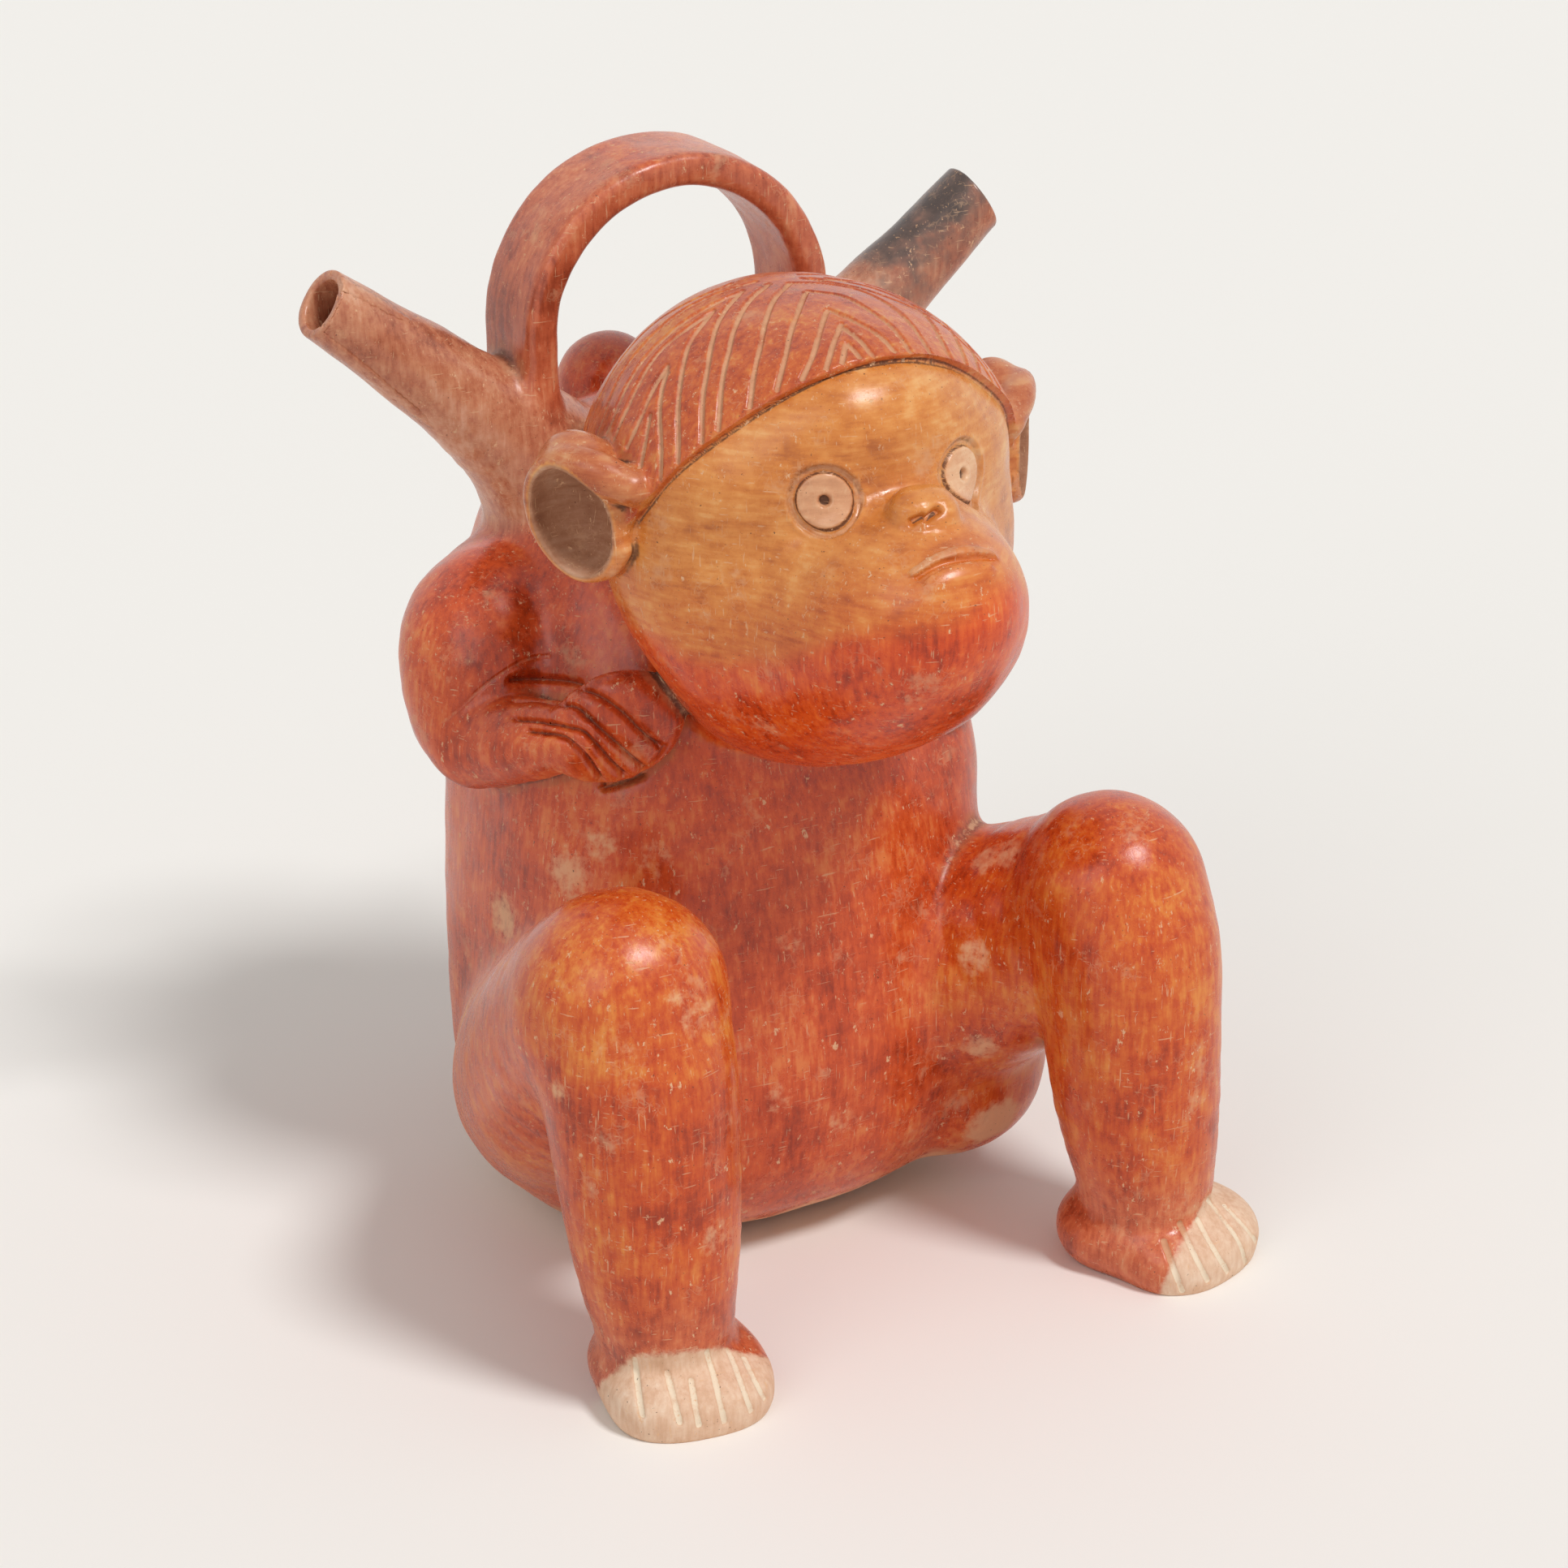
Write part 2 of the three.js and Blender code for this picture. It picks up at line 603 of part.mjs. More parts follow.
// Colours and finish of the slips

const slips = {
  red: { color: 0xb24a2a, roughness: 0.42 },
  orange: { color: 0xc2662f, roughness: 0.4 },
  ochre: { color: 0xc98d52, roughness: 0.42 },
  brown: { color: 0x9c4a2c, roughness: 0.4 },
  cream: { color: 0xe0c4a0, roughness: 0.55 },
  smoked: { color: 0x8e5a44, roughness: 0.45 },
};
const slipOf = (name) => {
  if (/^foot/.test(name)) return slips.cream;
  if (/^(shin|thigh)/.test(name)) return slips.orange;
  if (/^(head|eye|nose|mouth|ear)/.test(name)) return slips.ochre;
  if (/^hair/.test(name)) return slips.brown;
  if (/^spout/.test(name)) return slips.smoked;
  return slips.red;
};

const vessel = new THREE.Group();
vessel.name = "monkey_effigy_vessel";
for (const [name, solid] of Object.entries(solids)) {
  const mesh = new THREE.Mesh(toGeometry(solid), new THREE.MeshStandardMaterial({ ...slipOf(name), metalness: 0 }));
  mesh.name = name;
  vessel.add(mesh);
}

// The finished vessel stands centred over the origin
const box = new THREE.Box3().setFromObject(vessel);
const middle = box.getCenter(new THREE.Vector3());
for (const mesh of vessel.children) mesh.geometry.translate(-middle.x, -middle.y, -box.min.z);

export default vessel;
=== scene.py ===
# %% [markdown]
# # A monkey effigy vessel in burnished slip
#
# The real object is a hollow pot of fired red clay, modelled by hand as a seated monkey.
# The round body is the chamber, two slanting spouts rise behind the head and a flat strap
# bridges their bases. Nothing on it moves: once fired, it is one piece of ceramic.
#
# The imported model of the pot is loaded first. It is made of plain faceted solids and it stays
# as it is. Every piece made below takes the place of one of those solids.

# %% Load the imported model
import json
from math import cos, radians, sin

import bmesh
import bpy
import numpy as np
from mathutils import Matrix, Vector
from mathutils.kdtree import KDTree


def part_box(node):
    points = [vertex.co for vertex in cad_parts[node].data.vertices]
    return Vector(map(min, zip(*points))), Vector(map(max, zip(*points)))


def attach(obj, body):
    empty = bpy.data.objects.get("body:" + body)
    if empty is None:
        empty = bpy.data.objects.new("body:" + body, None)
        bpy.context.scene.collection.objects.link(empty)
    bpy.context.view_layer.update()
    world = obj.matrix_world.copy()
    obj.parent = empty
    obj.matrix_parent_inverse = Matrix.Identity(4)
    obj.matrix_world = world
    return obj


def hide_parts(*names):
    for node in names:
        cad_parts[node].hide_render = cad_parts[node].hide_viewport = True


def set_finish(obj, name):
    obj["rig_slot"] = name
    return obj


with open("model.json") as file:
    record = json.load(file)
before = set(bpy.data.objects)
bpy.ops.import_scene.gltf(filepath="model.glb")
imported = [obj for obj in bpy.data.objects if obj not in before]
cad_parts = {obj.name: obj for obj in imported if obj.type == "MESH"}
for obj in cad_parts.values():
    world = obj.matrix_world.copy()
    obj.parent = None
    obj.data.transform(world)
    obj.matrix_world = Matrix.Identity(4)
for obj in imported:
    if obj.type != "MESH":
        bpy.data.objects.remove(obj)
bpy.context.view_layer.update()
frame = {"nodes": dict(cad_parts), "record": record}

print("nodes:", len(frame["nodes"]))

# %% [markdown]
# ## The maker's bench
#
# All sizes below are in millimetres on a bench of their own: x = 0 is the monkey's middle,
# y = 0 lies near the spouts, the face looks towards -y, and z = 0 is the table. The packed
# model is centred over its own box, so one shift in y leads from the bench to the frame. The
# widest line of the belly's back gives that shift, because both models share it.

# %% Bench and frame
BACK_OF_BELLY = 49.05
SHIFT = np.array((0.0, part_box("body_shell")[1][1] * 1000 - BACK_OF_BELLY, 0.0))


def to_frame(points):
    """Bench millimetres to frame metres."""
    return (np.asarray(points, float) + SHIFT) / 1000


print("shift along y in mm:", round(SHIFT[1], 2))

# %% [markdown]
# ## The camera
#
# The photograph looks down at the monkey's right front. Pairs of features that are alike left
# and right, such as eyes and spouts, fix the viewpoint: about 1.2 m away, turned 29 degrees
# to the monkey's right and looking 24 degrees down. The camera comes first because the
# incised lines are later placed by the pixels at which the photograph shows them.

# %% Camera at the photograph's view
PHOTO_SIDE = 1932
CAMERA_AT = np.array((-502.29, -965.97, 597.42))
CAMERA_TURN, CAMERA_DIP = radians(-29.088), radians(24.0)
FOCAL_PIXELS = 5200.0

look = np.array((-sin(CAMERA_TURN) * cos(CAMERA_DIP), cos(CAMERA_TURN) * cos(CAMERA_DIP),
                 -sin(CAMERA_DIP)))
aside = np.array((cos(CAMERA_TURN), sin(CAMERA_TURN), 0.0))
above = np.cross(aside, look)

camera = bpy.data.objects.new("photo_camera", bpy.data.cameras.new("photo_camera"))
camera.data.sensor_width = 36.0
camera.data.lens = 36.0 * FOCAL_PIXELS / PHOTO_SIDE
camera.data.clip_start, camera.data.clip_end = 0.05, 20.0
camera.location = to_frame(CAMERA_AT)
camera.rotation_euler = (radians(90) - CAMERA_DIP, 0.0, CAMERA_TURN)
bpy.context.collection.objects.link(camera)
bpy.context.scene.camera = camera
print("lens in mm:", round(camera.data.lens, 1))

# %% [markdown]
# ## Clay as a distance field
#
# A potter builds this figure from simple lumps, presses them together and smooths the joints
# with a wet finger. A subdivision surface could be shaped to match, but each soft joint would
# need its own careful topology. A distance field works as the potter does: every lump is a
# formula for the distance to its skin, and a smooth minimum presses lumps together with a
# fillet of a chosen width. The field is sampled on a grid and then skinned.

# %% A block of clay on a grid
VOXEL = 1.5
LOW = np.array((-116.0, -170.0, -6.0))
HIGH = np.array((116.0, 76.0, 305.0))
FAR = 1000.0
SPARE = 4 * VOXEL  # kept round each lump, so that distances near its skin are true
FILLET_REACH = 1.3  # how far a fillet spreads, in widths
TETRAHEDRON = np.array(((1, -1, -1), (-1, -1, 1), (-1, 1, -1), (1, 1, 1)), float)


def smooth_min(a, b, width):
    near = np.maximum(width - np.abs(a - b), 0) / width
    return np.minimum(a, b) - near ** 3 * width / 6


class Clay:
    """Distance to the skin on a grid, built up lump by lump."""

    def __init__(self):
        self.count = np.ceil((HIGH - LOW) / VOXEL).astype(int) + 1
        self.distance = np.full(self.count, FAR, np.float32)
        self.steps = []
        self.axes = [(LOW[i] + VOXEL * np.arange(self.count[i])).astype(np.float32)
                     for i in range(3)]

    def block(self, low, high):
        first = np.clip(np.floor((low - LOW) / VOXEL).astype(int), 0, self.count - 1)
        last = np.clip(np.ceil((high - LOW) / VOXEL).astype(int) + 1, 1, self.count)
        part = tuple(slice(first[i], last[i]) for i in range(3))
        axes = [self.axes[i][part[i]] for i in range(3)]
        return part, np.meshgrid(*axes, indexing="ij", sparse=True)

    def press(self, lump, width):
        """Add a lump, with a fillet of the given width."""
        formula, low, high = lump
        part, (x, y, z) = self.block(low - width * FILLET_REACH - SPARE,
                                     high + width * FILLET_REACH + SPARE)
        fresh = formula(x, y, z).astype(np.float32)
        self.distance[part] = smooth_min(self.distance[part], fresh, width)
        self.steps.append((lump, width, 1))

    def carve(self, lump, width=1.0):
        """Take a lump away, with its edge rounded by the given width."""
        formula, low, high = lump
        part, (x, y, z) = self.block(low - width - SPARE, high + width + SPARE)
        fresh = -formula(x, y, z).astype(np.float32)
        self.distance[part] = -smooth_min(-self.distance[part], -fresh, width)
        self.steps.append((lump, width, -1))

    def exact(self, points):
        """Distance at any points from the formulas themselves, finer than the grid can hold."""
        total = np.full(len(points), FAR)
        for (formula, low, high), width, sign in self.steps:
            reach = width * FILLET_REACH + SPARE
            near = np.all((points > low - reach) & (points < high + reach), axis=1)
            x, y, z = points[near].T
            fresh = sign * np.broadcast_to(formula(x, y, z), x.shape)
            total[near] = sign * smooth_min(sign * total[near], sign * fresh, width)
        return np.maximum(total, -points[:, 2])

    def at(self, points):
        """Distance at any points, by trilinear weights of the grid."""
        place = (points - LOW) / VOXEL
        cell = np.clip(np.floor(place).astype(int), 0, self.count - 2)
        part = place - cell
        total = np.zeros(len(points))
        for corner in np.ndindex(2, 2, 2):
            weight = np.prod([part[:, i] if corner[i] else 1 - part[:, i] for i in range(3)],
                             axis=0)
            i, j, k = (cell + corner).T
            total += weight * self.distance[i, j, k]
        return total


def slope(distance, points, step):
    """Unit vectors that point out of the clay, from a function for the distance."""
    rise = sum(np.outer(distance(points + step * corner), corner) for corner in TETRAHEDRON)
    return rise / np.maximum(np.linalg.norm(rise, axis=1, keepdims=True), 1e-9)


EXACT_STEP = 0.15
clay = Clay()
print("grid:", clay.count, "cells of", VOXEL, "mm")

# %% [markdown]
# ## Lumps
#
# Three kinds of lump are enough. An egg has three half sizes and a turn. A roll is a row of
# balls whose centres and radii run smoothly from one to the next. The body is a stack of
# squarish rings, as a pot built from coils is.

# %% Eggs and rolls


def turned(about_x=0.0, about_y=0.0, about_z=0.0):
    """Rotation matrix from angles in degrees, x first and z last."""
    a, b, c = radians(about_x), radians(about_y), radians(about_z)
    rx = np.array(((1, 0, 0), (0, cos(a), -sin(a)), (0, sin(a), cos(a))))
    ry = np.array(((cos(b), 0, sin(b)), (0, 1, 0), (-sin(b), 0, cos(b))))
    rz = np.array(((cos(c), -sin(c), 0), (sin(c), cos(c), 0), (0, 0, 1)))
    return rz @ ry @ rx


def egg(centre, radii, turn=None, power=2.0):
    """An egg; a power above 2 makes it squarish, like a pebble."""
    turn = np.eye(3) if turn is None else turn
    centre, radii = np.array(centre, float), np.array(radii, float)

    def formula(x, y, z):
        x, y, z = x - centre[0], y - centre[1], z - centre[2]
        local = [turn[0, i] * x + turn[1, i] * y + turn[2, i] * z for i in range(3)]
        share = [np.abs(local[i] / radii[i]) for i in range(3)]
        near = sum(u ** power for u in share) ** (1 / power)
        steep = np.sqrt(sum((u ** (power - 1) / r) ** 2 for u, r in zip(share, radii)))
        return (near - 1) * np.maximum(near, 1e-3) ** (power - 1) / np.maximum(steep, 1e-6)

    reach = np.abs(turn) @ radii if power > 2 else np.sqrt(((turn * radii) ** 2).sum(1))
    return formula, centre - reach, centre + reach


def smooth_row(stations, steps=5):
    """Catmull-Rom row through stations of any number of values."""
    row = np.array(stations, float)
    row = np.vstack([2 * row[0] - row[1], row, 2 * row[-1] - row[-2]])
    out = []
    for a, b, c, d in zip(row, row[1:], row[2:], row[3:]):
        for t in np.arange(steps) / steps:
            out.append(0.5 * (2 * b + (c - a) * t + (2 * a - 5 * b + 4 * c - d) * t ** 2
                              + (3 * b - a - 3 * c + d) * t ** 3))
    return np.array(out + [row[-2]])


def roll(stations):
    balls = smooth_row(stations)

    def formula(x, y, z):
        nearest = None
        for (ax, ay, az, ar), (bx, by, bz, br) in zip(balls, balls[1:]):
            dx, dy, dz = bx - ax, by - ay, bz - az
            t = ((x - ax) * dx + (y - ay) * dy + (z - az) * dz) / (dx * dx + dy * dy + dz * dz)
            t = np.clip(t, 0, 1)
            gap = np.sqrt((x - ax - t * dx) ** 2 + (y - ay - t * dy) ** 2 + (z - az - t * dz) ** 2)
            gap = gap - (ar + t * (br - ar))
            nearest = gap if nearest is None else np.minimum(nearest, gap)
        return nearest

    low, high = (balls[:, :3] - balls[:, 3:]).min(0), (balls[:, :3] + balls[:, 3:]).max(0)
    return formula, low, high


def half_space(normal, point, low, high):
    """Everything on the side that the normal points away from, inside a box."""
    normal = np.array(normal, float) / np.linalg.norm(normal)
    offset = normal @ np.array(point, float)
    return (lambda x, y, z: normal[0] * x + normal[1] * y + normal[2] * z - offset,
            np.array(low, float), np.array(high, float))


three_balls = [(0, 0, 0, 1), (0, 0, 1, 1), (0, 0, 2, 1)]
print("a roll with three stations has", len(smooth_row(three_balls)), "balls")

# %% Fillets in mm, each between a lump and the clay that is there before it
FILLET = {"body": 1.0, "head": 10.0, "neck": 12.0, "hair_cap": 0.8, "thigh": 12.0, "shin": 6.0,
          "foot": 8.0, "haunch": 10.0, "chest": 12.0, "upper_arm": 10.0, "forearm": 4.0,
          "hand": 3.0, "spout": 10.0, "bridge_handle": 8.0, "tail": 5.0, "ear": 3.5, "nose": 3.0}
MOUTH_EDGE, BORE_EDGE, EAR_EDGE = 1.4, 1.6, 1.4

# %% [markdown]
# ### The belly
#
# Each ring has its height, its half width, how far it reaches forward and back, and where its
# widest line runs. The rings are squarish, because the real belly is flattened front and back
# with a soft ridge at each front corner. Between rings the values follow a curve that never
# overshoots, so the wall has no ripples.

# %% The belly as a stack of rings
BELLY_RINGS = [
    (0, 37.5, -47, 20, -16), (2.1, 47, -55, 30, -17), (8, 56.9, -66, 40, -17.5),
    (18, 63.5, -77, 45, -18), (35, 67, -85, 48, -18), (60, 68.5, -88, 49, -18),
    (90, 68, -85, 49, -17), (120, 66, -79, 49, -14), (150, 62, -69, 49, -10),
    (175, 57, -56, 48, -4), (195, 50, -42, 45, 0), (210, 39, -28, 38, 3),
    (222, 26, -14, 28, 5), (229, 10, -2, 14, 6),
]
BELLY_SQUARENESS = 2.8


def calm_curve(rows, fine=300):
    """Rows resampled with slopes that never overshoot."""
    rows = np.array(rows, float)
    z = rows[:, 0]
    step = np.diff(z)[:, None]
    secant = np.diff(rows, axis=0) / step
    same = secant[:-1] * secant[1:] > 0
    mean = 2 / (1 / np.where(same, secant[:-1], 1) + 1 / np.where(same, secant[1:], 1))
    slope = np.vstack([secant[:1], np.where(same, mean, 0), secant[-1:]])
    at = np.linspace(z[0], z[-1], fine)
    i = np.clip(np.searchsorted(z, at, side="right") - 1, 0, len(z) - 2)
    t = ((at - z[i]) / step[i, 0])[:, None]
    return ((2 * t ** 3 - 3 * t ** 2 + 1) * rows[i] + (t ** 3 - 2 * t ** 2 + t) * step[i] * slope[i]
            + (3 * t ** 2 - 2 * t ** 3) * rows[i + 1] + (t ** 3 - t ** 2) * step[i] * slope[i + 1])


def ring_stack(rows, power):
    table = calm_curve(rows)

    def formula(x, y, z):
        height = np.clip(z, table[0, 0], table[-1, 0])
        half, front, back, middle = (np.interp(height, table[:, 0], column)
                                     for column in table.T[1:])
        forward = y - middle
        deep = np.where(forward < 0, np.maximum(middle - front, 1), np.maximum(back - middle, 1))
        u, v = np.abs(x / half), np.abs(forward / deep)
        size = (u ** power + v ** power) ** (1 / power)
        steep = np.sqrt((u ** (power - 1) / half) ** 2 + (v ** (power - 1) / deep) ** 2)
        steep = steep / np.maximum(size, 1e-3) ** (power - 1)
        side = (size - 1) / np.maximum(steep, 1 / 60)
        return np.maximum(side, np.maximum(table[0, 0] - z, z - table[-1, 0]))

    low = np.array((-table[:, 1].max(), table[:, 2].min(), table[0, 0]))
    return formula, low, np.array((table[:, 1].max(), table[:, 3].max(), table[-1, 0]))


lumps = {"body": ring_stack(BELLY_RINGS, BELLY_SQUARENESS)}
clay.press(lumps["body"], FILLET["body"])
print("belly:", [np.round(v).tolist() for v in lumps["body"][1:]])

# %% [markdown]
# ### The head
#
# The head is tipped up: cheeks as wide as the body, a crown behind them and a long muzzle that
# juts over the chest. Four eggs, blended broadly, give its outline. Their blend is a formula of
# its own, because the hair needs the bare head by itself. A short thick neck carries them.

# %% The head as four eggs
HEAD_EGGS = [
    ((0, -62, 236), (46, 32, 63), 69), ((0, -89, 194.5), (40, 73, 38), -22),
    ((0, -74, 219), (56, 59, 44), 63), ((0, -84, 238), (49, 36, 26.5), 0),
]
HEAD_BLEND = 14.0
HEAD_MARGIN = 4.0
NECK = [(0, -20, 178, 38), (0, -50, 205, 36)]

head_eggs = [egg(centre, radii, turned(about_x=tilt)) for centre, radii, tilt in HEAD_EGGS]


def head_formula(x, y, z):
    total = None
    for formula, _, _ in head_eggs:
        fresh = formula(x, y, z)
        total = fresh if total is None else smooth_min(total, fresh, HEAD_BLEND)
    return total


head_low = np.min([low for _, low, _ in head_eggs], axis=0) - HEAD_MARGIN
head_high = np.max([high for _, _, high in head_eggs], axis=0) + HEAD_MARGIN
lumps["head"] = (head_formula, head_low, head_high)
clay.press(lumps["head"], FILLET["head"])
clay.press(roll(NECK), FILLET["neck"])
print("head reaches from", head_low.round().tolist(), "to", head_high.round().tolist())

# %% [markdown]
# ### The hair
#
# The hair is a cap about two and a half millimetres proud of the skull, cut off along a line
# that climbs from the temples over the brow. Its lower edge throws a thin dark shadow in the
# photograph, so it is a real step, and the crease under it gets painted shade as well.

# %% The hair cap
HAIR_THICKNESS = 2.6
TEMPLE, BROW = (-85.0, 230.0), (-112.5, 268.5)
BROW_RISE, BROW_HALF_WIDTH = 2.2, 53.0  # the line bows upwards over the brow
NAPE = 214.0


def above_hairline(x, y, z):
    """Millimetres inside the cap's outline, below zero inside."""
    dy, dz = BROW[0] - TEMPLE[0], BROW[1] - TEMPLE[1]
    size = np.hypot(dy, dz)
    front = -((y - TEMPLE[0]) * dz - (z - TEMPLE[1]) * dy) / size
    front = front + BROW_RISE * (1 - np.minimum(np.abs(x) / BROW_HALF_WIDTH, 1.3) ** 2)
    return np.maximum(front, NAPE - z)


def hair_formula(x, y, z):
    return np.maximum(head_formula(x, y, z) - HAIR_THICKNESS, above_hairline(x, y, z))


lumps["hair_cap"] = (hair_formula, head_low - HAIR_THICKNESS, head_high + HAIR_THICKNESS)
clay.press(lumps["hair_cap"], FILLET["hair_cap"])
print("hairline at the middle of the brow:", BROW, "bowed by", BROW_RISE, "mm")

# %% [markdown]
# ### Arms and legs
#
# The limbs are rolls. Left and right were made by eye, so the knees differ a little in height
# and the left foot turns out more. On the left the chest is fuller below the arm and the haunch
# sits lower, which shows as a rounder outline there, so two eggs of clay are pressed on.

# %% Legs and feet
KNEES = {"right": (-72.6, 113.0, -68.0, 26.3), "left": (75.6, 108.4, 81.5, 25.2)}
FOOT_TURN = {"right": -8, "left": 20}
TOES = {"right": (3.6, -9.6, 22.6), "left": (3.6, -11.5, 23.2)}
SIDES = {"right": -1, "left": 1}


def foot(ankle_x, side, turn):
    """A broad pad of toes in front and a narrower heel behind, joined softly."""
    facing = turned(about_z=turn)
    ankle = np.array((ankle_x, -119, 0))
    inward = 2.0 if side == "right" else -2.0
    toes_aside, toes_forward, toes_half_width = TOES[side]
    toes = egg(ankle + facing @ np.array((toes_aside, toes_forward, 6.5)),
               (toes_half_width, 19.5, 11.5), facing @ turned(about_x=9), power=2.5)
    heel = egg(ankle + facing @ np.array((inward, 3.5, 8.5)), (20.5, 17.5, 13), facing)

    def formula(x, y, z):
        return smooth_min(toes[0](x, y, z), heel[0](x, y, z), 8.0)

    return formula, np.minimum(toes[1], heel[1]) - 3, np.maximum(toes[2], heel[2]) + 3


for side, sign in SIDES.items():
    knee_x, knee_z, ankle_x, knee_radius = KNEES[side]
    calf_x = ankle_x + 0.4 * (knee_x - ankle_x)
    lumps["thigh_" + side] = roll([
        (sign * 48, -32, 48, 35), (sign * 60.5, -64, 73, 33.5),
        (knee_x, -98.5, knee_z - 9, knee_radius + 1.3), (knee_x, -108, knee_z - 0.5, knee_radius)])
    lumps["shin_" + side] = roll([
        (knee_x, -109, knee_z, knee_radius), (knee_x + 0.3 * (calf_x - knee_x), -116, 90, 25.5),
        (calf_x, -119, 50, 22.8), (ankle_x, -121, 26, 19)])
    lumps["foot_" + side] = foot(ankle_x, side, FOOT_TURN[side])
    for limb in ("thigh", "shin", "foot"):
        clay.press(lumps[limb + "_" + side], FILLET[limb])
print("feet turned by", FOOT_TURN, "degrees")

# %% Arms, hands and the fuller left side
LEFT_HAND_SHIFT = np.array((3.0, 1.0, -6.0))
HAUNCH = ((57, -50, 37), (31, 31, 30))
CHEST = ((45, -35, 120), (27.5, 30, 44))
clay.press(egg(*HAUNCH), FILLET["haunch"])
clay.press(egg(*CHEST), FILLET["chest"])

for side, sign in SIDES.items():
    lower = LEFT_HAND_SHIFT if side == "left" else np.zeros(3)
    wrist = (*(np.array((sign * 56, -61, 164)) + lower), 8)
    lumps["upper_arm_" + side] = roll([
        (sign * 49, 4, 174, 22), (sign * 59, -6, 170, 24), (sign * 64, -13, 157, 21),
        (sign * 69.5, -17.5, 151, 14.5)])
    lumps["forearm_" + side] = roll([
        (sign * 70, -21, 149.5, 13.5),
        (sign * 63.5 + lower[0] / 2, -45, 157 + lower[2] / 2, 10.5), wrist])
    lumps["hand_" + side] = egg(np.array((sign * 49.5, -62, 164)) + lower, (19, 8, 15),
                                turned(about_y=sign * 25, about_z=sign * 22))
    for limb in ("upper_arm", "forearm", "hand"):
        clay.press(lumps[limb + "_" + side], FILLET[limb])
print("lumps so far:", len(lumps))

# %% [markdown]
# ### Spouts, strap and tail
#
# Each spout is a tapering tube with a bore, cut square at the mouth. The strap between them is
# flat, about 29 mm wide and 9 mm thick, bent to a half ring. The tail is a roll up the back
# that ends in a ball, which shows between the strap and the head.

# %% Spouts
SPOUT_MOUTH = {"right": (99.0, 268.2), "left": (98.0, 269.2)}
SPOUT_LEAN = (0.85, 0.527)
SPOUT_TIP = {"right": (-103, 5, 271.6, 9.2), "left": (102.6, 5, 272.9, 9.9)}

for side, sign in SIDES.items():
    lumps["spout_" + side] = roll([
        (sign * 30, 7.5, 205, 22), (sign * 44, 6, 222, 17), (sign * 71, 5.4, 245.6, 12),
        SPOUT_TIP[side]])
    clay.press(lumps["spout_" + side], FILLET["spout"])
    mouth = (sign * SPOUT_MOUTH[side][0], 5, SPOUT_MOUTH[side][1])
    beyond = half_space((-sign * SPOUT_LEAN[0], 0, -SPOUT_LEAN[1]), mouth,
                        (min(sign * 88, sign * 116), -12, 248),
                        (max(sign * 88, sign * 116), 22, 296))
    clay.carve(beyond, MOUTH_EDGE)
    clay.carve(roll([(sign * 62, 5.4, 237, 7.8), (sign * 118, 5, 284, 6.2)]), BORE_EDGE)
print("spout mouths:", SPOUT_MOUTH)

# %% The strap handle and the tail
STRAP_RADIUS, STRAP_CENTRE, STRAP_Y = 41.0, 251.2, 6.6
STRAP_HALF_WIDTH, STRAP_HALF_THICKNESS, STRAP_EDGE, STRAP_FOOT = 14.5, 4.6, 3.0, 210
STRAP_BOX = np.array((-47.0, -9.0, 205.0)), np.array((47.0, 22.0, 300.0))
TAIL = [(0, 40, 20, 13), (0, 48.6, 60, 11.6), (0, 51.6, 120, 10.8), (0, 49.5, 180, 11.7),
        (1.5, 45.6, 207, 13.2), (3, 44, 218, 15)]


def strap_formula(x, y, z):
    """A flat strap that runs straight up at each side and bends to a half ring above."""
    middle = np.where(z > STRAP_CENTRE, np.hypot(x, z - STRAP_CENTRE), np.abs(x) + 0 * z)
    bend = middle - STRAP_RADIUS
    thick = np.abs(bend) - STRAP_HALF_THICKNESS + STRAP_EDGE
    wide = np.abs(y - STRAP_Y) - STRAP_HALF_WIDTH + STRAP_EDGE
    round_edge = np.sqrt(np.maximum(thick, 0) ** 2 + np.maximum(wide, 0) ** 2)
    flat = round_edge + np.minimum(np.maximum(thick, wide), 0) - STRAP_EDGE
    return np.maximum(flat, STRAP_FOOT - z)


lumps["bridge_handle"] = (strap_formula, *STRAP_BOX)
lumps["tail"] = roll(TAIL)
for name in ("bridge_handle", "tail"):
    clay.press(lumps[name], FILLET[name])
print("strap:", 2 * STRAP_HALF_WIDTH, "mm wide and", 2 * STRAP_HALF_THICKNESS, "mm thick")

# %% [markdown]
# ### Ears, nose and the table
#
# An ear is a cup of clay that opens forward and out. Its upper lip is rolled over thickly and
# its lower rim is thin. The nose is a small pellet. Last, everything under the table's level
# is cut away, which leaves the flat that the pot stands on.

# %% Ears and nose
EAR_CENTRES = {"right": np.array((-61.5, -71.0, 230.5)), "left": np.array((59.3, -71.0, 229.5))}
EAR_AXIS = (0.75, -0.60, 0.15)
EAR_LEAN = 23
EAR_RADII = (12.2, 13.4, 19.4)
EAR_HOLLOW, EAR_HOLLOW_RADII = (8.0, 1.3, -2.5), (14.0, 10.3, 14.3)
# The rim's roll from its lower inner end round the outside and over the top to the head
EAR_ROLL = [
    (4.0, -8.0, -13.6, 2.0), (4.0, -2.0, -17.0, 2.0), (4.0, 4.8, -16.0, 2.0),
    (4.2, 9.6, -11.2, 2.0), (4.6, 11.8, -4.2, 2.1), (5.2, 11.4, 3.0, 2.3),
    (6.5, 8.0, 9.4, 2.7), (7.6, 0.5, 12.4, 3.4), (8.2, -8.0, 8.4, 4.9), (6.2, -16.5, 1.2, 4.9),
]
EAR_BLEND = 3.0


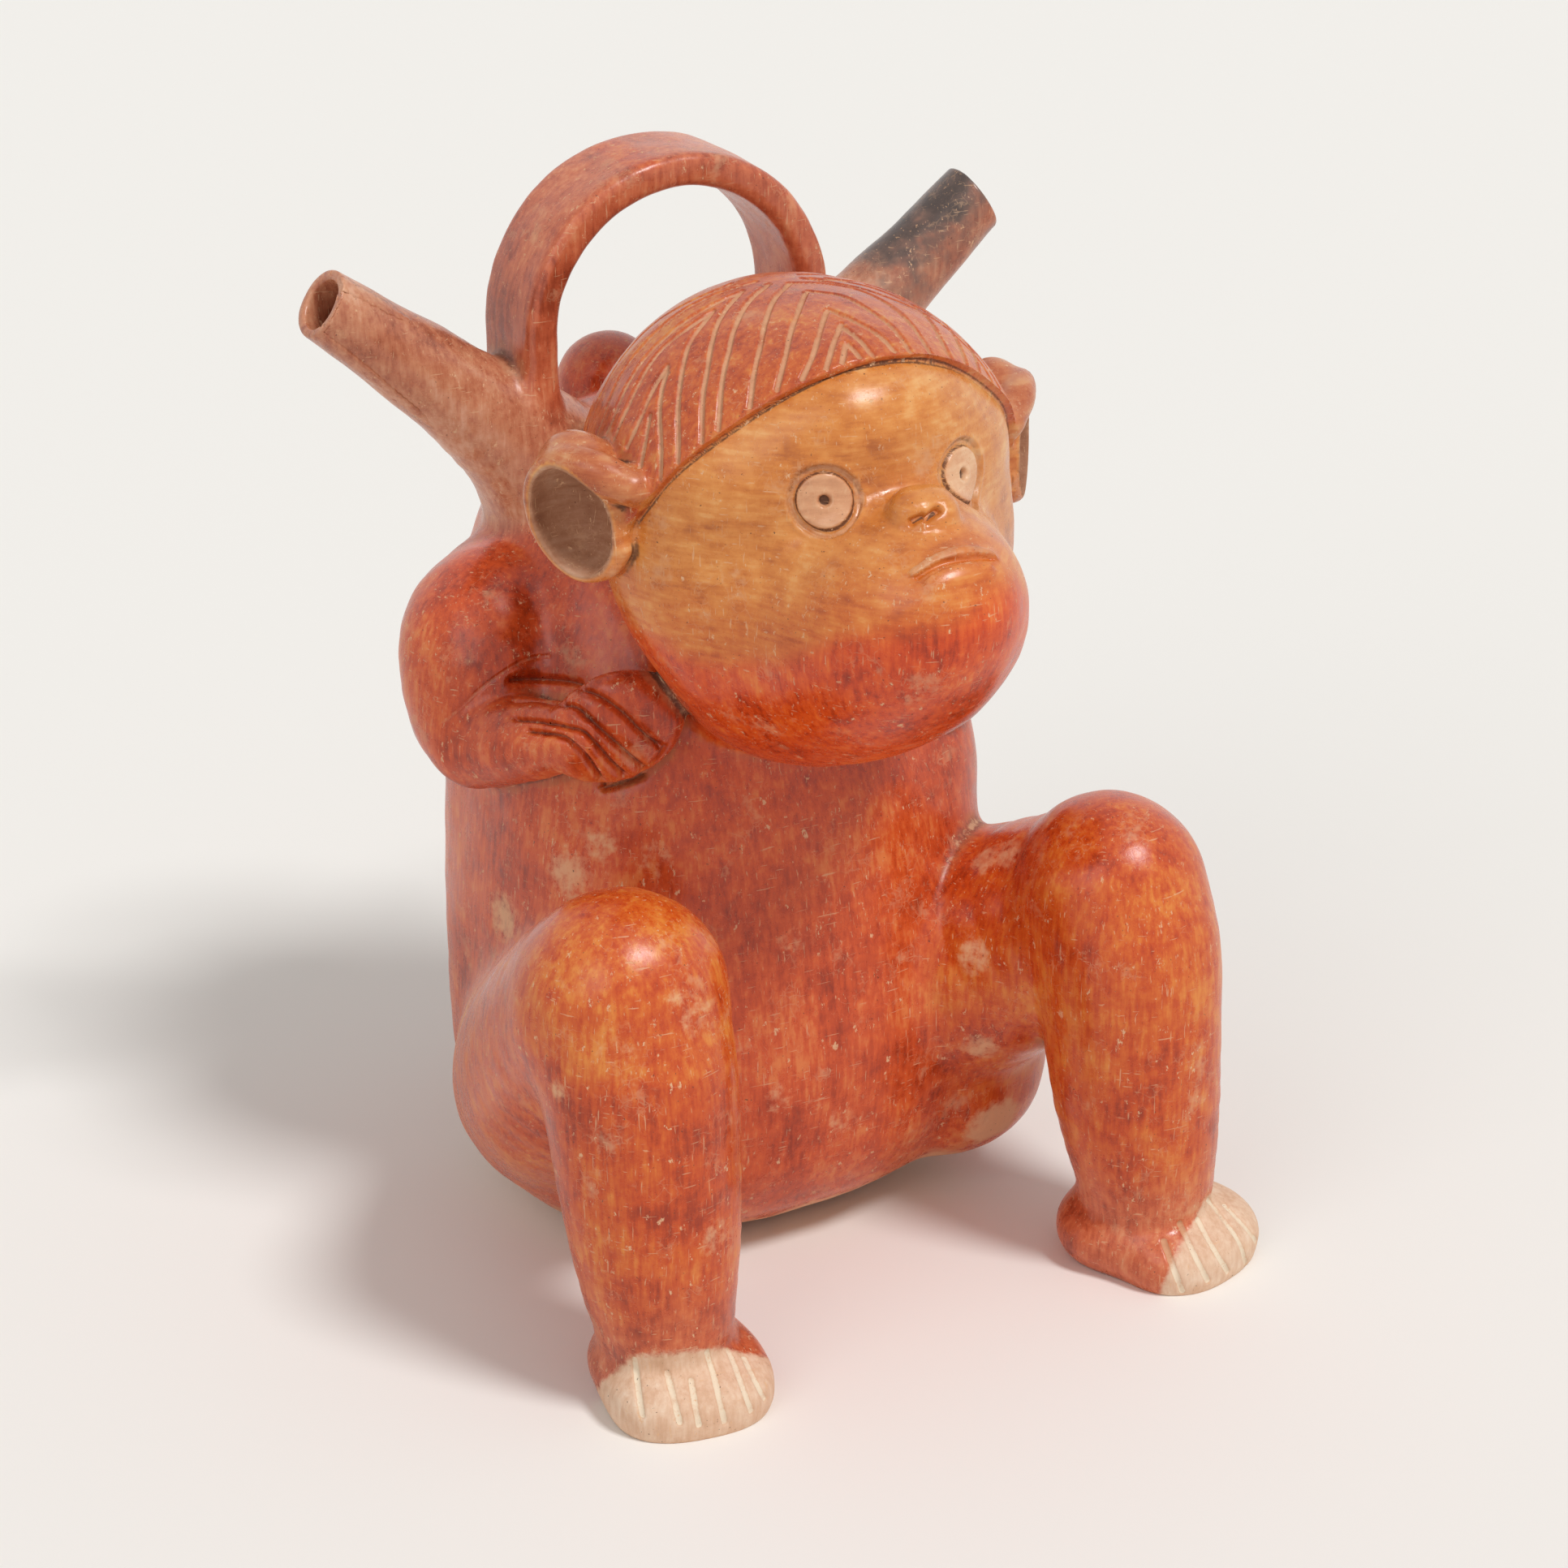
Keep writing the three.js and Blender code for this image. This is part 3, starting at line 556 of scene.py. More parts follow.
def ear_frame(sign):
    """Columns: out of the cup, away from the head and up the ear, which leans outwards."""
    out = np.array((sign * EAR_AXIS[0], EAR_AXIS[1], EAR_AXIS[2]))
    out /= np.linalg.norm(out)
    up = np.array((0, 0, 1.0)) - out * out[2]
    up /= np.linalg.norm(up)
    away = sign * np.cross(up, out)
    lean = radians(EAR_LEAN)
    return np.stack([out, cos(lean) * away - sin(lean) * up, cos(lean) * up + sin(lean) * away], 1)


def ear(centre, facing):
    """A narrow cup with a rolled rim, thick along the top down to the head and thin below."""
    cup = egg(centre, EAR_RADII, facing)
    lip = roll([(*(centre + facing @ np.array(place)), radius) for *place, radius in EAR_ROLL])

    def formula(x, y, z):
        return smooth_min(cup[0](x, y, z), lip[0](x, y, z), EAR_BLEND)

    return formula, np.minimum(cup[1], lip[1]) - 1, np.maximum(cup[2], lip[2]) + 1


for side, sign in SIDES.items():
    facing = ear_frame(sign)
    centre = EAR_CENTRES[side]
    lumps["ear_" + side] = ear(centre, facing)
    clay.press(lumps["ear_" + side], FILLET["ear"])
    hollow = centre + facing @ np.array(EAR_HOLLOW)
    clay.carve(egg(hollow, EAR_HOLLOW_RADII, facing), EAR_EDGE)

NOSE, NOSE_RADII = (0, -133.4, 237.4), (9.2, 8.0, 6.4)
lumps["nose"] = egg(NOSE, NOSE_RADII, turned(about_x=20), power=2.3)
clay.press(lumps["nose"], FILLET["nose"])
clay.distance = np.maximum(clay.distance, -clay.axes[2][None, None, :])
print("clay under the skin in ml:", round(float((clay.distance < 0).sum()) * VOXEL ** 3 / 1000))

# %% [markdown]
# ## Skinning the clay
#
# The grid is skinned by the surface net method: each grid cell that the skin crosses gets one
# point, and each grid edge that it crosses gets one four-sided face. A voxel remesh would do
# the same job, but doing it here gives clean four-sided faces and lets every point slide onto
# the exact skin afterwards.

# %% Surface net
JUST_CLAY = -0.01  # mm


def untangled(field):
    """Where a grid square has clay on one diagonal only, its thinner air turns to clay.

    Otherwise four faces would meet in one edge there, and the skin would not be a clean one.
    """
    field = field.copy()
    for _ in range(8):
        turned_to_clay = 0
        for u, v in ((0, 1), (1, 2), (0, 2)):
            steps, clay_at = np.zeros((4, 3), int), []
            for row, (du, dv) in enumerate(((0, 0), (1, 0), (1, 1), (0, 1))):
                steps[row, u], steps[row, v] = du, dv
                part = [slice(None)] * 3
                part[u], part[v] = slice(du, du - 1 or None), slice(dv, dv - 1 or None)
                clay_at.append(field[tuple(part)] < 0)
            tangled = ((clay_at[0] == clay_at[2]) & (clay_at[1] == clay_at[3])
                       & (clay_at[0] != clay_at[1]))
            for cell in np.argwhere(tangled):
                air = [tuple(spot) for spot in cell + steps if field[tuple(spot)] >= 0]
                if len(air) == 2:
                    field[min(air, key=lambda spot: field[spot])] = JUST_CLAY
                    turned_to_clay += 1
        if not turned_to_clay:
            break
    return field


def skin_of(field):
    inside = field < 0
    nx, ny, nz = field.shape
    filled = np.zeros((nx - 1, ny - 1, nz - 1), np.int8)
    for i, j, k in np.ndindex(2, 2, 2):
        filled += inside[i:nx - 1 + i, j:ny - 1 + j, k:nz - 1 + k]
    crossed = (filled > 0) & (filled < 8)
    cells = np.argwhere(crossed)
    index = np.full(crossed.shape, -1, np.int64)
    index[crossed] = np.arange(len(cells))
    total, number = np.zeros((len(cells), 3)), np.zeros(len(cells))
    for axis in range(3):
        for start in np.ndindex(2, 2, 2):
            if start[axis]:
                continue
            end = list(start)
            end[axis] = 1
            a = field[tuple((cells + start).T)].astype(float)
            b = field[tuple((cells + end).T)].astype(float)
            crossing = (a < 0) != (b < 0)
            spot = np.array(start, float) + np.zeros((len(cells), 3))
            spot[:, axis] = np.where(crossing, a / np.where(crossing, a - b, 1), 0)
            total += spot * crossing[:, None]
            number += crossing
    points = LOW + VOXEL * (cells + total / number[:, None])
    quads = []
    for axis in range(3):
        early, late = [slice(1, -1)] * 3, [slice(1, -1)] * 3
        early[axis], late[axis] = slice(0, -1), slice(1, None)
        here, there = inside[tuple(early)], inside[tuple(late)]
        offset = np.ones(3, int)
        offset[axis] = 0
        u, v = [(1, 2), (2, 0), (0, 1)][axis]
        for leaving, flip in ((here & ~there, False), (~here & there, True)):
            edge = np.argwhere(leaving) + offset
            corners = []
            for du, dv in ((1, 1), (0, 1), (0, 0), (1, 0)):
                cell = edge.copy()
                cell[:, u] -= du
                cell[:, v] -= dv
                corners.append(index[tuple(cell.T)])
            quad = np.stack(corners, 1)
            quads.append(quad[:, ::-1] if flip else quad)
    return points, np.concatenate(quads)


def islands(count, one, other):
    """For each item the lowest number among all that hang together with it by pairs."""
    island = np.arange(count)
    while True:
        low = island.copy()
        np.minimum.at(low, one, island[other])
        np.minimum.at(low, other, island[one])
        low = low[low]
        if (low == island).all():
            return island
        island = low


def without_bubbles(points, quads):
    """Only the largest skin, without the skins of bubbles that the lumps enclose.

    Faces hang together along their edges. A bubble may touch the outer skin at one point.
    """
    edges = np.stack([quads, np.roll(quads, -1, axis=1)], axis=2).reshape(-1, 2)
    edges = np.sort(edges, axis=1)
    order = np.lexsort(edges.T)
    shared = (edges[order[1:]] == edges[order[:-1]]).all(1)
    island = islands(len(quads), order[1:][shared] // 4, order[:-1][shared] // 4)
    names, sizes = np.unique(island, return_counts=True)
    outer = quads[island == names[sizes.argmax()]]
    used = np.unique(outer)
    print("bubbles left out:", len(names) - 1)
    return points[used], np.searchsorted(used, outer)


def onto_skin(points, rounds=2):
    for _ in range(rounds):
        gap = np.clip(clay.exact(points), -1, 1)
        points = points - gap[:, None] * slope(clay.exact, points, EXACT_STEP)
    return points


points, quads = without_bubbles(*skin_of(untangled(clay.distance)))
print("skin:", len(points), "points,", len(quads), "faces")

# %% [markdown]
# ## Incised lines, by the photograph
#
# The hair, fingers, toes, eyes and mouth were cut or modelled into the leather-hard clay with
# a blunt stick. Each line below is read off the photograph, in its own pixels, and is
# thrown from the camera onto the clay, so it lies on the form from every side. What the photo
# hides on the far side of the head follows by symmetry.

# %% Throw pixels onto the clay
NEAR_SKIN = 0.02  # mm


def walk(origin, ways, along, steps, stride):
    """Follow rays to the clay. A step is at most one stride, which is below zero inwards."""
    along = np.full(len(ways), along)
    for _ in range(steps):
        gap = clay.at(origin + ways * along[:, None])
        step = np.where(gap > NEAR_SKIN, np.clip(gap * 0.8, 0, abs(stride)), 0)
        along += np.sign(stride) * step
    return origin + ways * along[:, None]


def throw(pixels):
    """Where the camera sees the clay at some pixels, and whether it does see it there."""
    pixels = np.array(pixels, float)
    right = (pixels[:, 0] - PHOTO_SIDE / 2) / FOCAL_PIXELS
    up = (PHOTO_SIDE / 2 - pixels[:, 1]) / FOCAL_PIXELS
    rays = look + right[:, None] * aside + up[:, None] * above
    rays /= np.linalg.norm(rays, axis=1, keepdims=True)
    spots = walk(CAMERA_AT, rays, 900.0, 420, 1.8)
    return spots, np.abs(clay.at(spots)) < 0.5


def line_on_clay(pixels):
    """A smooth line through pixels, laid on the clay as points about 0.3 mm apart."""
    dense = smooth_row(pixels, 22)
    spots, hit = throw(dense)
    return onto_skin(spots[hit], 1)


def mirrored(line, shift=(0, 0, 0)):
    return onto_skin(line * (-1, 1, 1) + shift, 4)


test, hit = throw([(966, 966)])
print("the picture's middle meets the clay at", np.round(test[0]).tolist(), bool(hit[0]))

# %% [markdown]
# ### Hair lines
#
# The hatching is a set of nested chevrons. One set stands over the middle of the brow and one
# over each ear, and their legs run on side by side down to the hair's edge. Every line was
# pressed in with one stroke, about 1.4 mm wide, and pale clay has stayed in it.

# %% Hair lines read from the photograph
FRONT_CHEVRONS = [
    [(1042, 424), (1039, 440), (1036, 453)],
    [(1044, 424), (1054, 434), (1062, 444)],
    [(1036, 400), (1028, 420), (1022, 440), (1016, 461)],
    [(1039, 404), (1058, 418), (1076, 438)],
    [(1018, 384), (1011, 404), (1002, 436), (987, 470)],
    [(1020, 382), (1052, 396), (1084, 414), (1110, 441)],
    [(992, 360), (983, 384), (973, 412), (967, 440), (957, 480)],
    [(996, 358), (1032, 364), (1062, 378), (1092, 397), (1114, 420), (1130, 448)],
    [(972, 346), (953, 368), (943, 395), (936, 425), (929, 455), (923, 500)],
    [(976, 346), (1020, 347), (1060, 357), (1100, 379), (1134, 412), (1157, 450)],
    [(1000, 340), (1060, 346), (1110, 367), (1146, 398), (1168, 430), (1177, 457)],
    [(1060, 342), (1112, 358), (1150, 385), (1182, 425), (1199, 470)],
    [(1110, 352), (1148, 372), (1180, 404), (1203, 444), (1214, 485)],
]
SIDE_CHEVRONS = [
    [(946, 347), (920, 372), (906, 400), (897, 432), (889, 468), (883, 538)],
    [(800, 512), (794, 545), (787, 578)],
    [(822, 452), (808, 474), (795, 500), (784, 528), (773, 551)],
    [(822, 456), (815, 480), (812, 510), (813, 560), (812, 603)],
    [(878, 382), (848, 404), (818, 428), (795, 460), (775, 500), (757, 541)],
    [(876, 384), (852, 418), (842, 445), (836, 478), (834, 520), (834, 588)],
    [(914, 357), (874, 377), (832, 405), (798, 437), (772, 480), (748, 532)],
    [(912, 358), (888, 388), (877, 420), (869, 460), (864, 500), (863, 561)],
    [(930, 345), (880, 362), (836, 387), (800, 417), (765, 462), (731, 541)],
    [(900, 349), (850, 372), (800, 405), (757, 455), (727, 515), (721, 543)],
]

HEAD_MIDDLE = np.array((0.0, -74.0, 219.0))


def aimed(turn, rise):
    """Where a line from the middle of the head leaves the clay; a turn of 180 is the back."""
    t, r = np.radians(turn), np.radians(rise)
    ways = np.stack([np.sin(t) * np.cos(r), -np.cos(t) * np.cos(r), np.sin(r)], 1)
    return walk(HEAD_MIDDLE, ways, 95.0, 160, -1.2)


hair_lines = [line_on_clay(pixels) for pixels in FRONT_CHEVRONS]
for pixels in SIDE_CHEVRONS:
    line = line_on_clay(pixels)
    hair_lines += [line, mirrored(line)]

# The back of the head isn't in the photograph: the chevrons are carried round it by formula
for nest in range(6):
    for sign in (-1, 1):
        share = np.linspace(0, 1, 160)
        turn = 180 + sign * (3 + (6 + 11 * nest) * share)
        rise = (14 + 9 * nest) * (1 - share) - 4 * share
        hair_lines.append(aimed(turn, rise))

# A stroke stays on the hair itself and ends just before its edge and the ears
LINE_STOP, ON_HAIR = 1.1, 0.6
for number, line in enumerate(hair_lines):
    on_hair = np.abs(hair_formula(*line.T)) < ON_HAIR
    hair_lines[number] = line[on_hair & (above_hairline(*line.T) < -LINE_STOP)]
hair_lines = [line for line in hair_lines if len(line)]
print("hair lines:", len(hair_lines), "with", sum(len(line) for line in hair_lines), "points")

# %% [markdown]
# ### Fingers, toes and mouth
#
# The hand is cut into five fingers by four lines with soft shoulders, so that the fingers stand
# out round. The toes are short strokes over the front of each foot, filled with pale clay. The
# mouth is a shallow line with a low ridge of lip above it. A ridge is made as a line is, but it
# stands up.

# %% Lines on hands, feet and face
FINGER_LINES = [
    [(632, 838), (680, 838), (712, 843), (742, 859), (770, 881), (792, 904), (815, 922)],
    [(634, 862), (672, 863), (702, 868), (724, 882), (747, 902), (768, 927), (795, 950)],
    [(634, 883), (662, 886), (692, 895), (716, 902), (736, 922), (753, 943), (771, 960)],
    [(650, 900), (676, 905), (694, 911), (713, 928), (727, 944), (742, 967)],
]
FINGER_TIPS = [[(821, 922), (812, 936), (796, 951), (776, 961), (744, 971)]]
TOE_LINES = [
    [(782, 1675), (786, 1708), (791, 1744)], [(822, 1692), (829, 1718), (838, 1754)],
    [(852, 1700), (857, 1730), (862, 1757)], [(872, 1667), (882, 1702), (894, 1754)],
    [(899, 1664), (913, 1699), (927, 1740)], [(918, 1672), (932, 1700), (944, 1724)],
    [(1434, 1530), (1445, 1560), (1457, 1592)], [(1453, 1507), (1470, 1542), (1489, 1579)],
    [(1475, 1503), (1493, 1534), (1514, 1568)],
    [(1486, 1477), (1510, 1506), (1529, 1534), (1537, 1560)],
    [(1509, 1486), (1534, 1510), (1549, 1530), (1553, 1550)],
]
MOUTH_LINES = [[(1130, 711), (1146, 701), (1162, 694), (1180, 690), (1202, 688), (1221, 688)]]
LIP_RIDGES = [[(1128, 706), (1144, 695), (1163, 685), (1184, 679), (1204, 680), (1221, 685)]]
LOWER_LIP = [[(1150, 718), (1170, 708), (1192, 702), (1214, 702)]]
NOSTRILS = [[(1122, 644), (1129, 640), (1137, 635)], [(1145, 640), (1151, 633), (1158, 626)]]
WRIST_LINE = [[(546, 889), (566, 873), (590, 851), (612, 834), (634, 820), (656, 811), (676, 808)]]
marks = []


def mark(pixel_lines, width, depth, fill, soft=0.28, both_sides=False):
    """Note lines: width and depth in mm, how much pale clay is in them, how soft they are."""
    for pixels in pixel_lines:
        line = line_on_clay(pixels)
        marks.append((line, width, depth, fill, soft))
        if both_sides:
            marks.append((mirrored(line, LEFT_HAND_SHIFT), width, depth, fill, soft))


marks += [(line, 1.6, 0.95, 0.85, 0.28) for line in hair_lines]
mark(FINGER_LINES, 1.6, 2.4, 0.0, soft=0.85, both_sides=True)
mark(FINGER_TIPS, 1.6, 1.6, 0.0, soft=0.9, both_sides=True)
mark(WRIST_LINE, 1.1, 0.4, 0.5, soft=0.6, both_sides=True)
mark(TOE_LINES, 1.9, 0.7, 1.0, soft=0.5)
mark(MOUTH_LINES, 1.4, 0.9, 0.0, soft=0.5)
mark(LIP_RIDGES, 3.0, -0.8, 0.62, soft=0.6)
mark(LOWER_LIP, 5.0, -0.6, 0.0, soft=0.8)
mark(NOSTRILS, 2.7, 3.0, 0.0, soft=0.5)
print("marks in all:", len(marks))

# %% [markdown]
# ### Eyes
#
# Each eye is a ring pressed into the clay round a flat disc, with a small hole in its middle.
# A ring is simple in its own polar terms: the depth depends only on how far a point lies from
# the eye's axis. The axis is square to the skin where the photograph shows the pupil.

# %% Eye rings
EYE_PIXELS = (1016, 617)
EYE_DISC, EYE_RING, EYE_RING_DEPTH, PUPIL, PUPIL_DEPTH = 6.8, 8.8, 1.25, 1.45, 1.7
EYE_THICKNESS, FAR_OFF = 6, 99.0

eye_spot = throw([EYE_PIXELS])[0][0]
eye_out = slope(clay.at, eye_spot[None], 5.0)[0]
eyes = {"right": (eye_spot, eye_out), "left": (eye_spot * (-1, 1, 1), eye_out * (-1, 1, 1))}
print("eye at", eye_spot.round(1).tolist(), "facing", eye_out.round(2).tolist())


def ramp(value, low, high):
    """Smooth step from 0 at low to 1 at high."""
    t = np.clip((value - low) / (high - low), 0, 1)
    return t * t * (3 - 2 * t)


def band(value, start, end):
    """1 between start and end, which are each a low and a high of a smooth step."""
    return ramp(value, *start) * (1 - ramp(value, *end))


def eye_radius(spots, side):
    """Distance from the eye's axis, or a large one away from the eye."""
    centre, out = eyes[side]
    away = spots - centre
    deep = away @ out
    radius = np.linalg.norm(away - deep[:, None] * out, axis=1)
    return np.where(np.abs(deep) < EYE_THICKNESS, radius, FAR_OFF)


def eye_lift(spots, side):
    """Millimetres that the skin stands up or down round an eye."""
    r = eye_radius(spots, side)
    trench = band(r, (EYE_DISC - 0.15, EYE_DISC + 0.35), (EYE_RING - 0.15, EYE_RING + 0.35))
    floor_rise = 0.35 * np.exp(-((r - (EYE_DISC + EYE_RING) / 2) / 0.6) ** 2)
    disc = 1 - ramp(r, EYE_DISC - 0.9, EYE_DISC)
    rim = np.exp(-((r - EYE_RING - 0.9) / 0.7) ** 2)
    hole = 1 - ramp(r, PUPIL - 0.4, PUPIL + 0.3)
    burr = np.exp(-((r - PUPIL - 0.9) / 0.5) ** 2)
    return ((floor_rise - EYE_RING_DEPTH) * trench + 0.25 * disc + 0.18 * rim
            - PUPIL_DEPTH * hole + 0.15 * burr)


# %% [markdown]
# ### More points where the lines are
#
# The skin has a point every 1.5 mm, which is too coarse for a line 1.5 mm wide. Splitting
# every face would make the pot needlessly heavy, so only faces near a line, an eye or a sharp
# edge are split, twice over. The new points slide onto the exact skin, and then each line is
# pressed in.

# %% Split faces near the marks
EYE_CIRCLES = (0.01, 1.5, 3.5, 6.9, 8.8, 10.0)
TURN_LIMIT = cos(radians(20))
REACHES = ((3.0, 1.9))
mark_points = np.concatenate([line for line, *_ in marks])
mark_facts = np.concatenate([np.tile(facts, (len(line), 1)) for line, *facts in marks])
circles = []
angle = np.linspace(0, 2 * np.pi, 90)[:, None]
for centre, out in eyes.values():
    flat = np.cross(out, (0, 0, 1.0))
    flat /= np.linalg.norm(flat)
    for radius in EYE_CIRCLES:
        circle = np.cos(angle) * flat + np.sin(angle) * np.cross(out, flat)
        circles.append(centre + radius * circle)
split_points = np.concatenate([mark_points] + circles)


def tree_of(spots):
    tree = KDTree(len(spots))
    for i, spot in enumerate(spots):
        tree.insert(spot, i)
    tree.balance()
    return tree


mark_tree, split_tree = tree_of(mark_points), tree_of(split_points)


def at_vertices(mesh, key):
    """The place, co, or the normal of each vertex."""
    values = np.empty(len(mesh.vertices) * 3)
    mesh.vertices.foreach_get(key, values)
    return values.reshape(-1, 3)


def face_table(mesh):
    """For each corner its vertex, and for each face its first corner and corner count."""
    tables = []
    for items, key in ((mesh.loops, "vertex_index"), (mesh.polygons, "loop_start"),
                       (mesh.polygons, "loop_total")):
        tables.append(np.empty(len(items), np.int32))
        items.foreach_get(key, tables[-1])
    return tables


def mesh_from(name, spots, corners, totals):
    mesh = bpy.data.meshes.new(name)
    mesh.vertices.add(len(spots))
    mesh.vertices.foreach_set("co", np.asarray(spots, np.float32).ravel())
    mesh.loops.add(len(corners))
    mesh.loops.foreach_set("vertex_index", np.asarray(corners, np.int32))
    mesh.polygons.add(len(totals))
    starts = np.cumsum(totals) - totals
    mesh.polygons.foreach_set("loop_start", np.asarray(starts, np.int32))
    mesh.polygons.foreach_set("loop_total", np.asarray(totals, np.int32))
    mesh.update(calc_edges=True)
    return mesh


whole = mesh_from("whole_skin", points, quads.ravel(), np.full(len(quads), 4))


def slide(mesh):
    """Move every vertex along its normal towards the exact skin."""
    spots = at_vertices(mesh, "co")
    spots -= np.clip(clay.exact(spots), -1, 1)[:, None] * at_vertices(mesh, "normal")
    mesh.vertices.foreach_set("co", spots.ravel())
    mesh.update()


def sharp_faces(mesh):
    """True for a face whose corners look in clearly different directions."""
    corners, starts, totals = face_table(mesh)
    out = at_vertices(mesh, "normal")[corners]
    first = np.repeat(out[starts], totals, axis=0)
    return np.minimum.reduceat((out * first).sum(1), starts) < TURN_LIMIT


slide(whole)
for reach in REACHES:
    sharp = sharp_faces(whole)
    soft = bmesh.new()
    soft.from_mesh(whole)
    near = [face for face in soft.faces
            if sharp[face.index] or split_tree.find(face.calc_center_median())[2] < reach]
    edges = list({edge for face in near for edge in face.edges})
    bmesh.ops.subdivide_edges(soft, edges=edges, cuts=1, use_grid_fill=True)
    soft.to_mesh(whole)
    soft.free()
    slide(whole)
    print("split", len(near), "faces,", int(sharp.sum()), "sharp, now", len(whole.polygons))

slide(whole)
points = at_vertices(whole, "co")
corners, starts, totals = face_table(whole)

# %% Press the marks in
MARK_REACH, EYE_REACH = 3.2, 13
skin_out = slope(clay.exact, points, EXACT_STEP)
lift, fill, groove_shade, eye_close, eye_shade, eye_dust = np.zeros((6, len(points)))
close = np.flatnonzero([mark_tree.find(spot)[2] < MARK_REACH for spot in points])
for i in close:
    _, j, gap = mark_tree.find(points[i])
    width, depth, pale, soft = mark_facts[j]
    crisp = 1 - float(ramp(gap, width * 0.25, width * 0.6))
    valley = (0.65 * np.exp(-(gap / (0.55 * width)) ** 2)
              + 0.35 * np.exp(-(gap / (1.3 * width)) ** 2))
    burr = 0.1 * (1 - soft) * np.exp(-((gap - width * 0.8) / 0.45) ** 2) if depth > 0 else 0.0
    lift[i] = burr - depth * ((1 - soft) * crisp + soft * valley)
    fill[i] = pale * (1 - float(ramp(gap, width * 0.35, width * 0.7)))
    # Painted shade at the bottom of the deep finger grooves and in the nostrils
    groove_shade[i] = (0.6 * (depth > 1.2) + 0.4 * (depth > 2.5)) * np.exp(-(gap / 0.7) ** 2)
for side in eyes:
    r = eye_radius(points, side)
    lift += np.where(r < EYE_REACH, eye_lift(points, side), 0)
    eye_close = np.maximum(eye_close, 1 - ramp(r, 6.4, 7.0))
    dusty = band(r, (EYE_DISC + 0.3, EYE_DISC + 0.9), (EYE_RING + 0.2, EYE_RING + 1.6))
    eye_dust = np.maximum(eye_dust, dusty)
    # Painted shade along both edges of the ring's trench and in the pupil's hole
    for edge, strength in ((EYE_DISC + 0.15, 0.9), (EYE_RING + 0.05, 0.4)):
        eye_shade = np.maximum(eye_shade, strength * np.exp(-((r - edge) / 0.3) ** 2))
    eye_shade = np.maximum(eye_shade, 1 - ramp(r, PUPIL - 0.5, PUPIL + 0.1))
print("points moved by a mark:", int((np.abs(lift) > 0.02).sum()))
print("deepest mark in mm:", round(float(lift.min()), 2))

# %% [markdown]
# ### Made by hand
#
# Nothing on a hand-built pot is exactly round. Long, low waves of a few tenths of a millimetre
# keep highlights from being perfect. They are a plain sum of sines, so they are the same on
# every run.

# %% Unevenness of the hand-built wall


def waves(spots, length, seed):
    """Sum of sines with the given wavelength in mm, between about -1 and 1."""
    generator = np.random.default_rng(seed)
    total = np.zeros(len(spots))
    for _ in range(7):
        way = generator.normal(size=3)
        way *= 2 * np.pi / (length * generator.uniform(0.7, 1.4) * np.linalg.norm(way))
        total += np.sin(spots @ way + generator.uniform(0, 2 * np.pi))
    return total / 3.2


hand_made = 0.34 * waves(points, 46, 3) + 0.16 * waves(points, 19, 5) + 0.05 * waves(points, 8, 8)
hand_made *= ramp(points[:, 2], 0.5, 6)
shaped = points + (lift + hand_made)[:, None] * skin_out
shaped[:, 2] = np.maximum(shaped[:, 2], 0)
whole.vertices.foreach_set("co", shaped.ravel())
whole.update()
normals = at_vertices(whole, "normal")
print("unevenness up to", round(float(np.abs(hand_made).max()), 2), "mm")

# %% [markdown]
# ## One skin, twenty-five pieces
#
# The potter built the figure from separate members and then luted them together. The pieces
# below follow those members, so that each can be picked, hidden or repainted. Every face of the
# skin goes to the lump whose own skin lies nearest. The shading normals come from the whole
# skin, so the smoothed joints of the real pot show no seam between pieces.

# %% Which lump each face belongs to
PIECES = ["body_shell", "head_shell", "hair_cap", "ear_right", "ear_left", "eye_right",
          "eye_left", "nose", "mouth", "upper_arm_right", "upper_arm_left", "forearm_right",
          "forearm_left", "hand_right", "hand_left", "thigh_right", "thigh_left", "shin_right",
          "shin_left", "foot_right", "foot_left", "spout_right", "spout_left",
          "bridge_handle", "tail"]
LUMP_OF = {"body_shell": "body", "head_shell": "head"}
RELUCTANCE = {"nose": 0.5, "tail": 0.5, "forearm_right": 0.8, "forearm_left": 0.8,
              "ear_right": 0.3, "ear_left": 0.3}
LUMP_REACH, EYE_EDGE, MOUTH_REACH = 14, 1.4, 5.0

gap_to = np.full((len(PIECES), len(points)), FAR_OFF)
for row, piece in enumerate(PIECES):
    lump = LUMP_OF.get(piece, piece)
    if lump in lumps:
        formula, low, high = lumps[lump]
        near = np.all((points > low - LUMP_REACH) & (points < high + LUMP_REACH), axis=1)
        x, y, z = points[near].T
        gap = np.broadcast_to(formula(x, y, z), x.shape)
        gap_to[row, near] = gap + RELUCTANCE.get(piece, 0.0)

# The cap's rim belongs to the hair
hair, head = PIECES.index("hair_cap"), PIECES.index("head_shell")
hair_inside = -above_hairline(*points.T)
on_rim = (hair_inside > -0.1) & (gap_to[head] > 0.3)
gap_to[hair] = np.where(on_rim, np.minimum(gap_to[hair], gap_to[head] - 0.5), gap_to[hair])

face_of_corner = np.repeat(np.arange(len(starts)), totals)


def over_faces(values):
    """Mean of a value over each face's corners."""
    return np.bincount(face_of_corner, values[corners], len(starts)) / totals


label = np.array([over_faces(gap) for gap in gap_to]).argmin(0)
for side in eyes:
    around_eye = over_faces(eye_radius(points, side)) < EYE_RING + EYE_EDGE
    label[around_eye] = PIECES.index("eye_" + side)
lips = [line_on_clay(pixels) for pixels in MOUTH_LINES + LIP_RIDGES + LOWER_LIP]
lip_tree = tree_of(np.concatenate(lips))
lip_gap = over_faces(np.array([lip_tree.find(spot)[2] for spot in points]))
label[(lip_gap < MOUTH_REACH) & (label == head)] = PIECES.index("mouth")
print("faces of the mouth:", int((label == PIECES.index("mouth")).sum()))

# %% Even out the borders and drop islands


